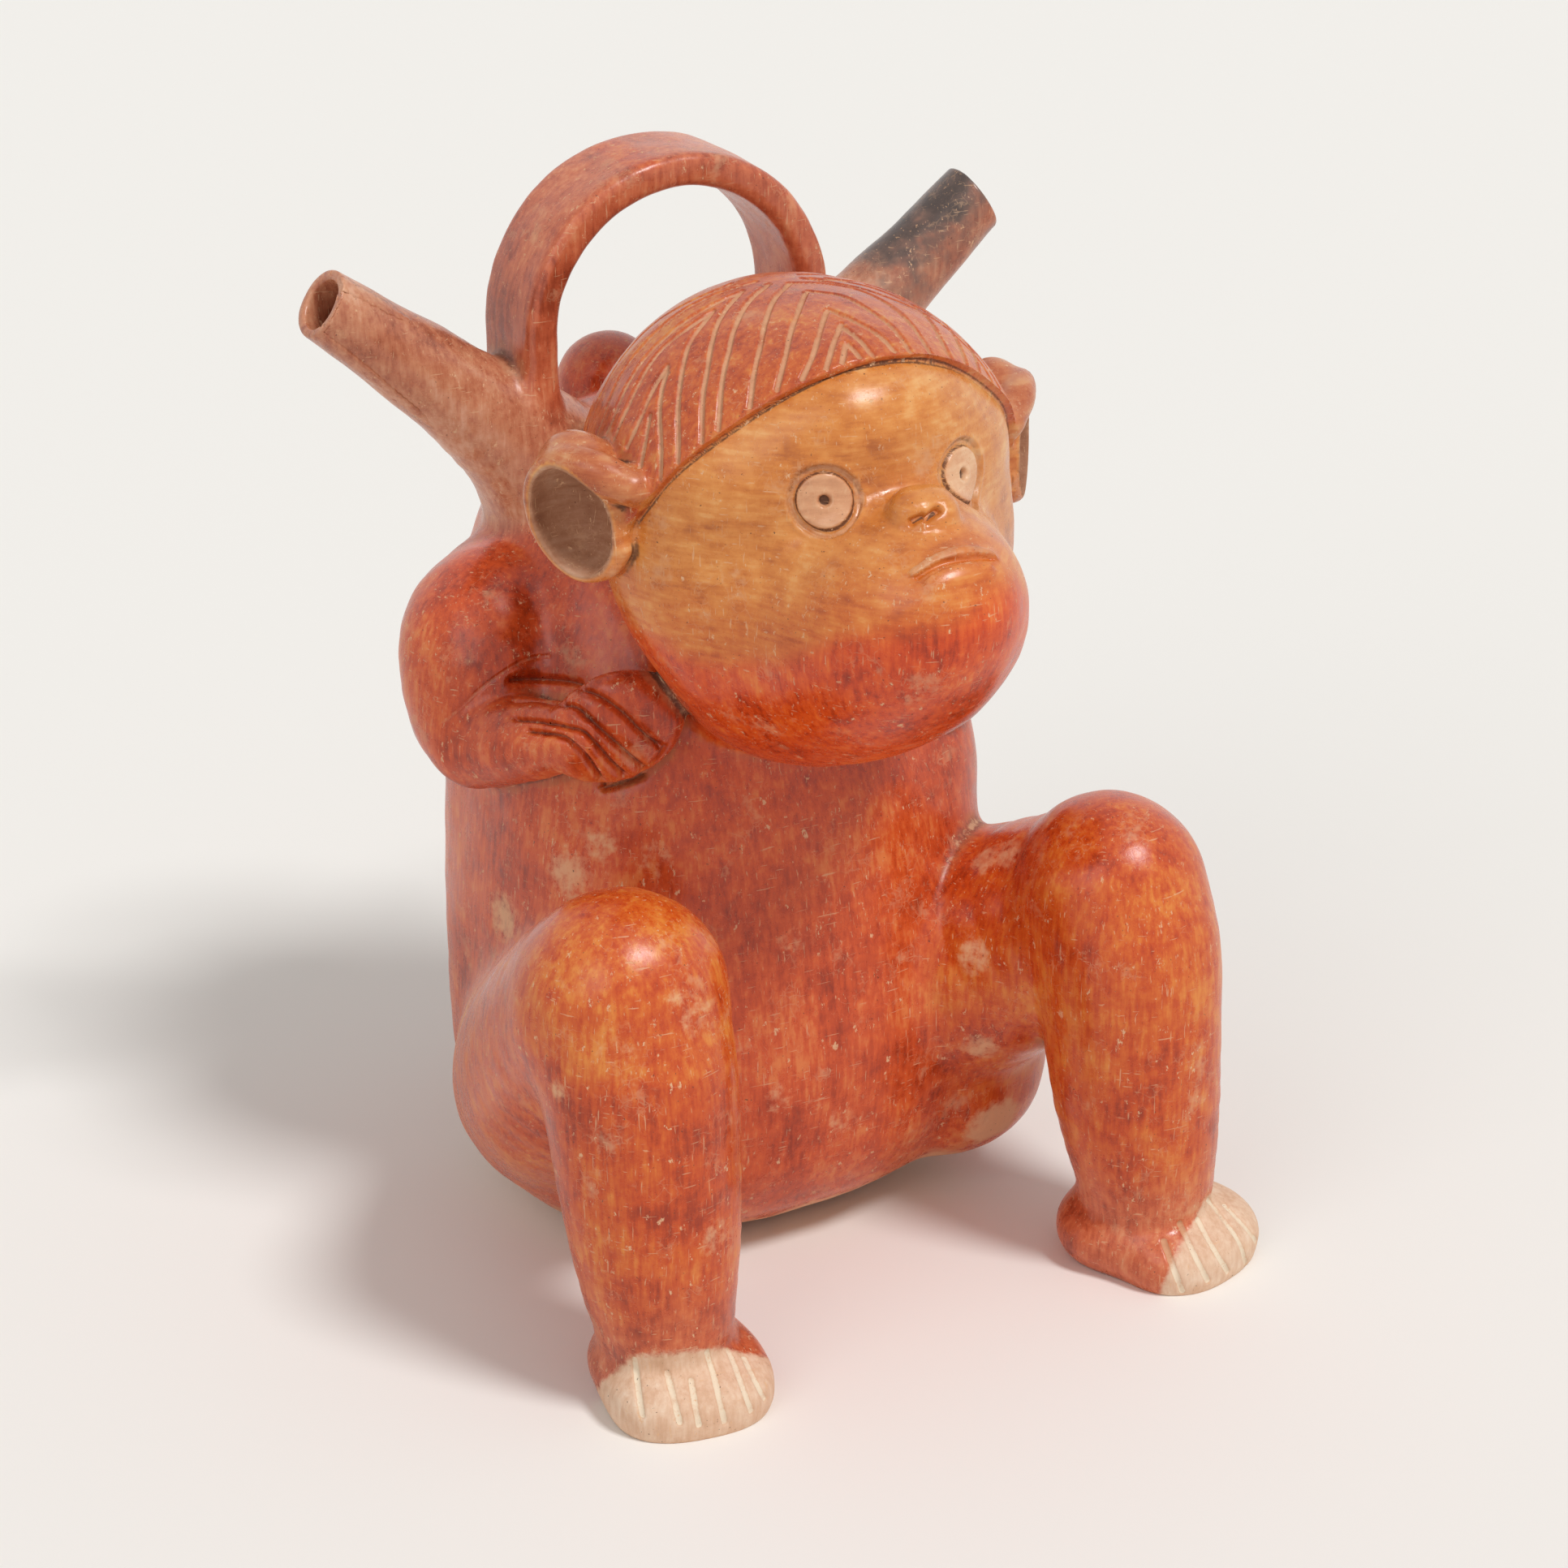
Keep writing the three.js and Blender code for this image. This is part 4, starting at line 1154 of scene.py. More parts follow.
def neighbours_of(corners, starts, totals):
    """Pairs of faces that share an edge."""
    following = np.arange(len(corners)) + 1
    last = starts + totals - 1
    following[last] = starts
    a, b = corners, corners[following]
    key = np.minimum(a, b).astype(np.int64) * (len(points) + 1) + np.maximum(a, b)
    order = np.argsort(key, kind="stable")
    same = key[order][1:] == key[order][:-1]
    return face_of_corner[order[:-1][same]], face_of_corner[order[1:][same]]


one, other = neighbours_of(corners, starts, totals)


def votes_of(label, voters):
    """How many of each face's neighbours that may vote belong to each piece."""
    votes = np.zeros((len(PIECES), len(label)), np.int16)
    for a, b in ((one, other), (other, one)):
        np.add.at(votes, (label[b][voters[b]], a[voters[b]]), 1)
    return votes


for _ in range(8):
    votes = votes_of(label, np.ones(len(label), bool))
    np.add.at(votes, (label, np.arange(len(label))), 1)
    label = votes.argmax(0)


def without_islands(label):
    """Each piece keeps its largest patch, and its other patches go to their neighbours."""
    joined = label[one] == label[other]
    island = islands(len(label), one[joined], other[joined])
    keep = np.zeros(len(label), bool)
    for row in range(len(PIECES)):
        mine = label == row
        if mine.any():
            names, sizes = np.unique(island[mine], return_counts=True)
            keep |= mine & (island == names[sizes.argmax()])
    while not keep.all():
        votes = votes_of(label, keep)
        fresh = ~keep & (votes.max(0) > 0)
        if not fresh.any():
            break
        label = np.where(fresh, votes.argmax(0), label)
        keep |= fresh
    return label


# %% [markdown]
# A border that passes twice through one point would pinch a piece there. All faces round such
# a point go to the piece that already has most of them.

# %% Free the pieces from pinches
face_lists = [corners[s:s + t].tolist() for s, t in zip(starts, totals)]


def open_edges(faces):
    """For each vertex, where the open edges that leave it lead to."""
    edges = {}
    for face in faces:
        for edge in zip(face, face[1:] + face[:1]):
            edges[edge] = edges.get(edge, 0) + 1
    following = {}
    for (a, b), times in edges.items():
        for _ in range(times - edges.get((b, a), 0)):
            following.setdefault(a, []).append(b)
    return following


faces_at = np.argsort(corners, kind="stable")
first_at = np.searchsorted(corners[faces_at], np.arange(len(points) + 1))
for _ in range(12):
    label = without_islands(label)
    pinched = set()
    for row in range(len(PIECES)):
        leaving = open_edges([face_lists[i] for i in np.flatnonzero(label == row)])
        pinched |= {vertex for vertex, ends in leaving.items() if len(ends) > 1}
    for vertex in sorted(pinched):
        around = face_of_corner[faces_at[first_at[vertex]:first_at[vertex + 1]]]
        label[around] = np.bincount(label[around]).argmax()
    print("pinched points:", len(pinched))
    if not pinched:
        break
for row, piece in enumerate(PIECES):
    print(piece, int((label == row).sum()), "faces")

# %% [markdown]
# ### Where each slip lies
#
# The face is ochre, the hair brown-red, the legs more orange than the body, and the toes are
# bare pale clay. Each colour's share is worked out at every point of the skin and stored there
# as an attribute, because the real slips run into one another across the joints. A colour for
# each piece would show a hard seam where the real pot has none.

# %% Shares of the slips
HEAD = ("head_shell", "hair_cap", "ear_right", "ear_left", "nose")
SPOUTS = ("spout_right", "spout_left")
UPPER_ARMS = ("upper_arm_right", "upper_arm_left")


def group_gap(*names):
    """Distance to the nearest of some lumps."""
    return gap_to[[PIECES.index(name) for name in names]].min(0)


def gap_beside(names):
    """Distance to the nearest of all other lumps."""
    return group_gap(*[name for name in PIECES if name not in names])


def share_of(mine, others, blur):
    """1 where mine is nearer than the others by blur mm, 0 where it is farther by as much."""
    return ramp(others - mine, -blur, blur)


ear_gap = group_gap("ear_right", "ear_left")
skull_gap = group_gap("head_shell", "hair_cap")
leg_gap = group_gap("thigh_right", "thigh_left", "shin_right", "shin_left")
foot_gap = group_gap("foot_right", "foot_left")
spout_gap, strap_gap = group_gap(*SPOUTS), group_gap("bridge_handle")
body_gap = group_gap("body_shell", *UPPER_ARMS, *SPOUTS, "tail")
rest_but_spouts = gap_beside(SPOUTS)

x, y, z = points.T
wobble = waves(points, 22, 11)
on_head = share_of(group_gap(*HEAD), gap_beside(HEAD), 2.0)
on_ear = share_of(ear_gap, skull_gap, 1.6) * on_head
hair_share = ramp(hair_inside, -0.25, 0.2) * on_head * (1 - on_ear)
skin_of_face = on_head * (1 - hair_share)

# The muzzle's red starts under the mouth and runs back along the jaw; seen from above, each
# point takes the height of the line's parts that lie nearest to it
RED_LINE = [(1258, 672), (1247, 705), (1228, 733), (1190, 757), (1130, 778), (1060, 790),
            (990, 800), (930, 812), (892, 822)]
DROP_BEHIND = 0.35  # how fast the line drops behind its own end, in mm per mm
red_line = throw(smooth_row(RED_LINE, 5))[0]
far_side = red_line[red_line[:, 0] < -22] * (-1, 1, 1)
red_line = np.concatenate([red_line, far_side])
weight_sum, line_z = np.zeros(len(points)), np.zeros(len(points))
for spot in red_line:
    weight = 1 / ((x - spot[0]) ** 2 + (y - spot[1]) ** 2 + 20) ** 2
    weight_sum += weight
    line_z += weight * spot[2]
line_z = line_z / weight_sum - DROP_BEHIND * np.maximum(y - red_line[:, 1].max(), 0)
under_line = line_z - z + 1.5 * wobble
red_share = ramp(under_line, -4, 5)
warm_share = ramp(under_line, -26, 0)
face_share = skin_of_face * (1 - red_share)
leg_share = ramp(body_gap - np.minimum(leg_gap, foot_gap), -8, 6) * ramp(z + 5 * wobble, 12, 52)
print("muzzle's red starts between", red_line[:, 2].min().round(), red_line[:, 2].max().round())

# %% Ears: the rim is brown-red, most of all along the top, and the cup is bare clay inside
HOLLOW_SIZE = 1.12  # in half sizes of the hollow
ear_lip, ear_cup = np.zeros((2, len(points)))
for side, sign in SIDES.items():
    facing = ear_frame(sign)
    local = (points - EAR_CENTRES[side]) @ facing
    depth_in = HOLLOW_SIZE - np.linalg.norm((local - EAR_HOLLOW) / EAR_HOLLOW_RADII, axis=1)
    inside = (depth_in > 0) & (local[:, 0] > -9) & (sign * x > 40)
    ear_cup = np.maximum(ear_cup, inside * ramp(depth_in, 0, 0.08))
    upper = ramp(local[:, 2] - 0.25 * local[:, 1], -4, 8)
    lip_here = on_ear * (sign * x > 0) * (0.45 + 0.55 * upper) * ~inside
    ear_lip = np.maximum(ear_lip, lip_here)
print("points in the ears' cups:", int((ear_cup > 0).sum()))

# %% Bare toes: where the slip ends on each foot, and the way it leads from there
SLIP_ENDS = {"right": ((838, 1652), (-0.2, -1.0, -0.75)),
             "left": ((1462, 1528), (0.55, -1.0, -0.35))}
cream_share = np.zeros(len(points))
for side, (pixel, lean) in SLIP_ENDS.items():
    start = throw([pixel])[0][0]
    way = turned(about_z=FOOT_TURN[side]) @ np.array(lean)
    beyond = (points - start) @ (way / np.linalg.norm(way))
    near = (SIDES[side] * x > 30) & (y < -100) & (z < 40)
    low = 1 - ramp(z + 2 * wobble, 19, 27)
    cream_share = np.maximum(cream_share, near * low * ramp(beyond + 1.6 * wobble, -3.5, 3.5))
print("points on the bare toes:", int((cream_share > 0).sum()))

# %% Spouts, strap and smoke, which has coloured the left spout most
near_spouts = share_of(np.minimum(spout_gap, strap_gap),
                       group_gap("body_shell", "tail", "head_shell", *UPPER_ARMS), 6.0)
spout_share = near_spouts * (1 - 0.55 * share_of(strap_gap, spout_gap, 4.0))
towards_tip = np.where(x > 0, 1.15 * ramp(x, 44, 76), 0.45 * ramp(-x, 52, 88))
smoke_share = share_of(spout_gap, rest_but_spouts, 3.0)
smoke_share *= towards_tip * (0.76 + 0.36 * skin_out[:, 2])
print("points in the smoke:", int((smoke_share > 0).sum()))

# %% Hollows and ridges
# A hollow is a place where a step outwards doesn't lead as far from the clay as it should. A
# short step finds the narrow creases, a longer one the broad hollows round them
CREASE_STEP, STEP = 1.5, 3.5
hair_edge = on_head * (1 - ramp(np.abs(hair_inside), 2.0, 4.5))
# Narrow creases, the step under the hair among them, get painted shade; broad hollows get dust
crease_shade = ramp(CREASE_STEP - clay.exact(points + CREASE_STEP * skin_out), 0.25, 0.95)
crease_shade *= ramp(group_gap("nose"), 3, 8)
hollow_share = ramp(STEP - clay.at(points + STEP * skin_out), 0.35, 1.9)
hollow_share *= (1 - 0.9 * face_share) * (1 - hair_edge) * (1 - 0.6 * ear_cup)
ridge_share = ramp(clay.at(points - STEP * skin_out) + STEP, 0.35, 1.8)
ridge_share *= (1 - share_of(spout_gap, rest_but_spouts, 1.0)) * (1 - 0.75 * hair_edge)
ridge_share *= 1 - 0.8 * np.maximum(on_ear, ear_cup)
print("hollow points:", int((hollow_share > 0).sum()), "ridges:", int((ridge_share > 0).sum()))

# %% Worn or chalky places, each with its pixel, radius in mm and strength
WORN_PLACES = [
    ((1200, 1180), 9, 0.55), ((1208, 1290), 10, 0.6), ((1225, 1385), 14, 0.9),
    ((1150, 1440), 12, 0.6), ((1245, 1050), 10, 0.55), ((1215, 1060), 8, 0.6),
    ((1290, 1010), 9, 0.4), ((700, 1075), 12, 0.6), ((620, 1130), 13, 0.6),
    ((740, 1040), 9, 0.5), ((810, 1060), 9, 0.35), ((560, 1200), 9, 0.4),
    ((860, 1250), 14, 0.35), ((960, 1350), 10, 0.35), ((980, 1160), 10, 0.35),
    ((1040, 1380), 9, 0.4), ((760, 1285), 12, 0.3), ((840, 1230), 8, 0.4),
    ((880, 1530), 9, 0.45), ((690, 1345), 6, 0.5), ((600, 640), 14, 0.3),
    ((560, 820), 12, 0.3), ((1050, 900), 12, 0.2), ((1130, 855), 10, 0.35),
]
scuff_share = np.zeros(len(points))
for pixel, radius, strength in WORN_PLACES:
    spot = throw([pixel])[0][0]
    away = np.linalg.norm(points - spot, axis=1)
    scuff_share = np.maximum(scuff_share, strength * (1 - ramp(away, 0.2 * radius, radius)))
on_body = share_of(group_gap("body_shell"), leg_gap, 3.0)
worn_base = on_body * ramp(z, 0, 3) * (1 - ramp(z + 4 * wobble, 9, 20))
scuff_share = np.maximum(scuff_share, 0.75 * worn_base)
# Painted shade: dark in narrow creases, along the eye rings, in the pupils, and in deep grooves and
# nostrils
dirt_share = np.maximum(np.maximum(0.7 * crease_shade, 0.9 * eye_shade), groove_shade)
shares = {
    "face_share": face_share, "warm_share": skin_of_face * warm_share,
    "jaw_share": skin_of_face * red_share, "hair_share": hair_share, "leg_share": leg_share,
    "cream_share": cream_share, "smoke_share": smoke_share, "spout_share": spout_share,
    "hollow_share": hollow_share, "ridge_share": ridge_share, "dirt_share": dirt_share,
    "line_fill": fill * (0.9 + 0.12 * waves(points, 7, 21)), "eye_share": eye_close,
    "eye_dust": eye_dust, "ear_lip": ear_lip, "ear_cup": ear_cup, "scuff_share": scuff_share,
}
for name, values in shares.items():
    print(name, "covers", round(100 * float(values.mean()), 1), "% of the points")

# %% [markdown]
# ### Closing each piece
#
# A piece that is cut out of a skin has open edges. A fan of faces could close a flat edge, but
# the edges here wind round joints and a fan would cut through the skin. Each piece gets a wall
# instead: a second skin inside and a strip that joins the two along the edges. The body, head
# and thighs have the real wall's thickness, and the hair's is thicker, because it carries the
# crown. The rest has a thin wall, since nothing shows of it.

# %% Build the pieces
WALLS = {"body_shell": 6.0, "head_shell": 5.5, "hair_cap": 7.0,
         "thigh_right": 6.0, "thigh_left": 6.0}
THIN_WALL = 3.0
LEAST_DEPTH = 0.45  # the wall's inner side is at least so much of its depth inside the clay
smooth_out = slope(clay.at, points, 4.0)


def edge_loops(faces):
    """Open edges of a set of faces, as rings of vertices in the faces' own direction."""
    following, rings = open_edges(faces), []
    while following:
        start = next(iter(following))
        ring, at = [], start
        while at in following:
            ring.append(at)
            step = following[at].pop()
            if not following[at]:
                del following[at]
            at = step
            if at == start:
                break
        rings.append(ring)
    return rings


def inner_skin(name, used):
    """The wall's inner side, one wall thickness in, or less where the clay is thinner."""
    depth = np.full(len(used), WALLS.get(name, THIN_WALL))
    for _ in range(14):
        inner = points[used] - depth[:, None] * smooth_out[used]
        depth = np.where(clay.at(inner) > -LEAST_DEPTH * depth, 0.82 * depth, depth)
    return points[used] - depth[:, None] * smooth_out[used]


def make_piece(name, row):
    faces = [face_lists[i] for i in np.flatnonzero(label == row)]
    used = np.unique(np.concatenate([np.array(face) for face in faces]))
    local = {int(v): i for i, v in enumerate(used)}
    faces = [[local[v] for v in face] for face in faces]
    rings = edge_loops(faces)
    count = len(used)
    spots = np.vstack([shaped[used], inner_skin(name, used)])
    outward = np.vstack([normals[used], np.zeros((count, 3))])
    faces = faces + [[v + count for v in reversed(face)] for face in faces]
    for ring in rings:
        for a, b in zip(ring, ring[1:] + ring[:1]):
            faces.append([b, a, a + count, b + count])
    mesh = mesh_from(name + "_clay", to_frame(spots), [v for face in faces for v in face],
                     [len(face) for face in faces])
    mesh.polygons.foreach_set("use_smooth", np.ones(len(faces), bool))
    for key, data in shares.items():
        stored = np.concatenate([data[used], data[used]]).astype(np.float32)
        mesh.attributes.new(key, "FLOAT", "POINT").data.foreach_set("value", stored)
    if mesh.validate(verbose=False):
        print(name, "had faces that needed mending")
    mesh.normals_split_custom_set_from_vertices(outward.tolist())
    piece = bpy.data.objects.new(name + "_clay", mesh)
    bpy.context.collection.objects.link(piece)
    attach(piece, "root")
    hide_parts(name)
    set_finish(piece, next(part["material_slot"] for part in frame["record"]["subparts"]
                        if part["node"] == name))
    return piece, len(rings)


pieces = {}
for row, name in enumerate(PIECES):
    pieces[name], open_rings = make_piece(name, row)
    print(name, len(pieces[name].data.polygons), "faces,", open_rings, "open edges closed")

# %% [markdown]
# ## Finish
#
# The pot is terracotta coated with thin coloured slips, which are clays rich in iron. The
# leather-hard slip was rubbed with a smooth pebble until it shone, and then fired. That gives
# a satin gloss in short strokes, colours that shift from orange to dark red with the thickness
# of the slip, pale scars where the slip has chipped, and grey clouds of smoke. One recipe makes
# all six slips, and the stored shares say which colour lies where.

# %% Helpers for colours and nodes


def linear(hex_colour):
    """sRGB hex to linear red, green, blue and an alpha of 1."""
    parts = [int(hex_colour[i:i + 2], 16) / 255 for i in (1, 3, 5)]
    return [p / 12.92 if p <= 0.04045 else ((p + 0.055) / 1.055) ** 2.4 for p in parts] + [1.0]


def add(tree, kind, settings=None, inputs=None):
    """Add a node. settings are its properties; an input is a number, a colour or a socket."""
    node = tree.nodes.new("ShaderNode" + kind)
    for key, value in (settings or {}).items():
        setattr(node, key, value)
    for key, value in (inputs or {}).items():
        if isinstance(value, bpy.types.NodeSocket):
            tree.links.new(value, node.inputs[key])
        else:
            node.inputs[key].default_value = value
    return node


print("ochre in linear light:", [round(v, 3) for v in linear("#CB8A45")])

# %% [markdown]
# ### Patterns with real sizes
#
# Pebble strokes are about 1.5 mm wide and 12 mm long, and run up the body and legs but across
# the face. Thick and thin slip alternate over some 35 mm. Chips are 1 to 3 mm wide. Grit leaves
# pits under half a millimetre wide and the slip is crazed by hair-fine cracks about 3 mm apart;
# both are drawn a little coarser so that they show.

# %% Patterns: width of a cell in mm, detail, roughness and stretch
MM = 1000.0  # cells of one millimetre, as the frame is in metres
PATTERNS = {
    "upright strokes": (1.5, 3, 0.6, (1, 1, 8)), "level strokes": (1.5, 3, 0.6, (7, 7, 1.2)),
    "clouds": (36, 3, 0.6, (1, 1, 1)), "mottle": (7, 5, 0.68, (1, 1, 1)),
    "ragged": (3.5, 5, 0.7, (1, 1, 1)), "puffs": (17, 4, 0.62, (1, 1, 1)),
    "speckle": (1.1, 4, 0.7, (1, 1, 1)), "chips": (2.6, 4, 0.75, (1, 1, 1.6)),
    "scratches": (0.55, 2, 0.5, (1, 1.4, 16)), "slanting scratches": (0.6, 2, 0.5, (14, 5, 1)),
    "patches": (13, 5, 0.7, (1, 1, 1)), "pits": (0.9, 2, 0.6, (1, 1, 1)),
}
CRAZE_CELL = 3.2

# %% Slips: colours from thick and dark to thin and bright
PALETTES = {
    "red": [(0.38, "#942F10"), (0.46, "#BA441B"), (0.53, "#CE5525"), (0.61, "#DC7A41")],
    "orange": [(0.38, "#9C3210"), (0.46, "#C24816"), (0.53, "#D06022"), (0.61, "#DD8438")],
    "ochre": [(0.38, "#B06029"), (0.46, "#CC7934"), (0.54, "#DA8D46"), (0.62, "#E6AA69")],
    "warm": [(0.38, "#AE4C1E"), (0.46, "#CB6427"), (0.54, "#D97C36"), (0.62, "#E49C56")],
    "hair": [(0.38, "#923617"), (0.46, "#B54A20"), (0.54, "#CA622B"), (0.62, "#D78A45")],
    "jaw": [(0.38, "#9C2C0A"), (0.46, "#CA4210"), (0.54, "#DE591D"), (0.62, "#E67B34")],
    "bare": [(0.38, "#CDA282"), (0.47, "#DAB294"), (0.54, "#E3C1A5"), (0.62, "#EBD0B8")],
    "spout": [(0.38, "#98543C"), (0.46, "#B87052"), (0.54, "#CA8967"), (0.62, "#D8A385")],
    "lip": [(0.38, "#8E4022"), (0.46, "#B05830"), (0.54, "#C47245"), (0.62, "#D29262")],
    "cup": [(0.38, "#8E5C42"), (0.46, "#A06C4E"), (0.54, "#B07E60"), (0.62, "#C09478")],
}
# The darkest brown is painted shade in creases, eye rings and grooves, and also darkens the pits
COLOURS = {"filling": "#E3B48E", "old filling": "#B67C56", "dust": "#A67A58",
           "grime": "#4A2818", "scar": "#E0B48C", "light soot": "#6E5C54",
           "dark soot": "#3A322F", "chalk": "#EAD9C0"}

# %% [markdown]
# ### The recipe
#
# The layers follow the order in which the real finish came about: slip, smoke from the fire,
# pale clay rubbed into the cut lines, dust in the joints, and last the scars of use. Painted
# shade, a dark brown in narrow creases, along the eye rings and in deep grooves, goes on after
# the dust, and the same brown darkens the pits last. Each mask is a pattern times one value plus
# another, put through a soft step. Gloss falls wherever the burnished skin is broken. The relief
# in the shader is only the fine part, under 0.2 mm; every line and edge is real geometry.

# %% Masks: pattern, times, plus, where the step starts and ends, and how strong it is
MASKS = {
    "bare clay": ("ragged", 0.9, "cream_share", 0.72, 1.16, 1.0),
    "light smoke": ("puffs", "smoke_share", 0.0, 0.22, 0.56, 0.92),
    "dark smoke": ("puffs", "smoke_share", 0.0, 0.40, 0.66, 0.8),
    "filling": ("speckle", 0.55, "line_fill", 0.62, 1.06, 0.9),
    "toe filling": ("speckle", 0.55, "line_fill", 0.75, 1.2, 0.95),
    "dust": ("mottle", "hollow_share", 0.0, 0.26, 0.60, 0.4),
    # Painted shade in narrow creases, eye rings and deep grooves, broken up by speckle
    "grime": ("speckle", 0.5, "dirt_share", 0.52, 0.98, 0.85),
    "eye dust": ("ragged", "eye_dust", 0.0, 0.25, 0.65, 0.6),
    "chips": ("chips", 1.0, 0.0, 0.63, 0.68, 0.85),
    "scuffs": ("ragged", 1.2, "scuff_share", 0.85, 1.3, 0.75),
    "worn ridges": ("ragged", "ridge_share", 0.0, 0.42, 0.62, 0.6),
    "scratches": ("scratches", 1.0, 0.0, 0.67, 0.71, 0.5),
    "slanting scratches": ("slanting scratches", 1.0, 0.0, 0.69, 0.72, 0.5),
    "patches": ("patches", 1.0, 0.0, 0.58, 0.73, 0.4),
    "crazed places": ("patches", 1.0, 0.0, 0.50, 0.64, 0.26),
    "pits": ("pits", -1.0, 1.0, 0.70, 0.75, 0.8),
}
# The highest of some masks or shares, each in the order in which it is needed
HIGHEST = {
    "scars": ("chips", "scuffs", "worn ridges", "scratches", "slanting scratches", "patches",
              "craze"),
    "dull": ("scars", "dust", "bare clay", "filling", "grime", "ear_cup"),
    "broken": ("pits", "scars"),
}
LAYERS = [
    ("spout", "spout_share"), ("orange", "leg_share"), ("ochre", "face_share"),
    ("warm", "warm_share"), ("jaw", "jaw_share"), ("hair", "hair_share"), ("lip", "ear_lip"),
    ("cup", "ear_cup"), ("bare", "eye pale"), ("bare", "bare clay"),
    ("light soot", "light smoke"), ("dark soot", "dark smoke"), ("filling", "filling"),
    ("chalk", "toe chalk"), ("dust", "dust"), ("filling", "eye dust"), ("grime", "grime"),
    ("scar", "scars"), ("grime", "pits"),
]
SLIP_IOR = 1.47
SMOOTH_ROUGHNESS, BROKEN_ROUGHNESS = (0.20, 0.36), 0.72
CRACK_BEND, CRACK_WAVE = 0.005, 6  # metres to the side, and mm from bend to bend
RELIEF_STRENGTH, RELIEF_HEIGHT = 0.32, 0.0004

# %% Burnished slip


def burnished_slip(name):
    material = bpy.data.materials.new(name)
    material.use_nodes = True
    tree = material.node_tree
    shader = tree.nodes["Principled BSDF"]
    shader.inputs["IOR"].default_value = SLIP_IOR
    place = add(tree, "TexCoord").outputs["Object"]

    # The stored shares and the patterns
    value = {key: add(tree, "Attribute", {"attribute_name": key}).outputs["Fac"] for key in shares}
    pattern = {}
    for key, (cell, detail, rough, stretch) in PATTERNS.items():
        scale = [MM / (cell * s) for s in stretch]
        scaled = add(tree, "Mapping", inputs={"Vector": place, "Scale": scale}).outputs[0]
        pattern[key] = add(tree, "TexNoise", inputs={
            "Vector": scaled, "Scale": 1.0, "Detail": detail, "Roughness": rough}).outputs[0]

    # Masks; in their table a name stands for a share, and a number for itself
    mask = {}
    for key, (kind, times, plus, low, high, top) in MASKS.items():
        mixed = add(tree, "Math", {"operation": "MULTIPLY_ADD"}, {
            0: pattern[kind], 1: value.get(times, times), 2: value.get(plus, plus)}).outputs[0]
        mask[key] = add(tree, "MapRange", {"interpolation_type": "SMOOTHSTEP"}, {
            "Value": mixed, "From Min": low, "From Max": high, "To Max": top}).outputs[0]

    # Hair-fine cracks: the borders of cells that a noise has bent
    bend = add(tree, "TexNoise", inputs={
        "Vector": place, "Scale": MM / CRACK_WAVE, "Detail": 3.0}).outputs["Color"]
    bent = add(tree, "VectorMath", {"operation": "MULTIPLY_ADD"},
               {0: bend, 1: (CRACK_BEND,) * 3, 2: place}).outputs[0]
    border = add(tree, "TexVoronoi", {"feature": "DISTANCE_TO_EDGE"},
                 {"Vector": bent, "Scale": MM / CRAZE_CELL}).outputs["Distance"]
    crack = add(tree, "MapRange", {"interpolation_type": "SMOOTHSTEP"},
                {"Value": border, "From Min": 0.05, "From Max": 0.015}).outputs[0]

    # Products of two, and the highest of several
    for key, one_part, other_part in (("craze", crack, mask["crazed places"]),
                                      ("eye pale", value["eye_share"], 0.5),
                                      ("toe chalk", mask["toe filling"], mask["bare clay"])):
        mask[key] = add(tree, "Math", {"operation": "MULTIPLY"},
                        {0: one_part, 1: other_part}).outputs[0]
    value.update(mask)
    for key, parts in HIGHEST.items():
        value[key] = value[parts[0]]
        for part in parts[1:]:
            value[key] = add(tree, "Math", {"operation": "MAXIMUM"},
                             {0: value[key], 1: value[part]}).outputs[0]

    # The slip's thickness gives its tone, and strokes and breaks give the fine relief
    strokes = add(tree, "Mix", {"data_type": "FLOAT"}, {
        0: value["face_share"], 2: pattern["upright strokes"],
        3: pattern["level strokes"]}).outputs[0]
    sums = {}
    for key, terms in {
            "tone": ((strokes, 0.30), (pattern["clouds"], 0.36), (pattern["mottle"], 0.34)),
            "height": ((strokes, 0.4), (pattern["mottle"], 0.6), (value["broken"], -0.3))}.items():
        sums[key] = 0.0
        for source, weight in terms:
            sums[key] = add(tree, "Math", {"operation": "MULTIPLY_ADD"},
                            {0: source, 1: weight, 2: sums[key]}).outputs[0]

    # Layers of colour, from the slip up
    paint = {key: linear(colour) for key, colour in COLOURS.items()}
    for key, stops in PALETTES.items():
        node = add(tree, "ValToRGB", inputs={"Fac": sums["tone"]})
        for _ in stops[2:]:
            node.color_ramp.elements.new(0.5)
        for element, (position, colour) in zip(node.color_ramp.elements, stops):
            element.position, element.color = position, linear(colour)
        paint[key] = node.outputs[0]
    paint["filling"] = add(tree, "Mix", {"data_type": "RGBA"}, {
        0: pattern["ragged"], 6: paint["old filling"], 7: paint["filling"]}).outputs[2]
    colour = paint["red"]
    for key, share in LAYERS:
        colour = add(tree, "Mix", {"data_type": "RGBA"},
                     {0: value[share], 6: colour, 7: paint[key]}).outputs[2]
    tree.links.new(colour, shader.inputs["Base Color"])

    # Gloss: burnished skin is satin, broken skin is dull
    gloss = add(tree, "MapRange", inputs={
        "Value": pattern["mottle"], "From Min": 0.3, "From Max": 0.7,
        "To Min": SMOOTH_ROUGHNESS[0], "To Max": SMOOTH_ROUGHNESS[1]}).outputs[0]
    rough = add(tree, "Mix", {"data_type": "FLOAT"},
                {0: value["dull"], 2: gloss, 3: BROKEN_ROUGHNESS}).outputs[0]
    tree.links.new(rough, shader.inputs["Roughness"])

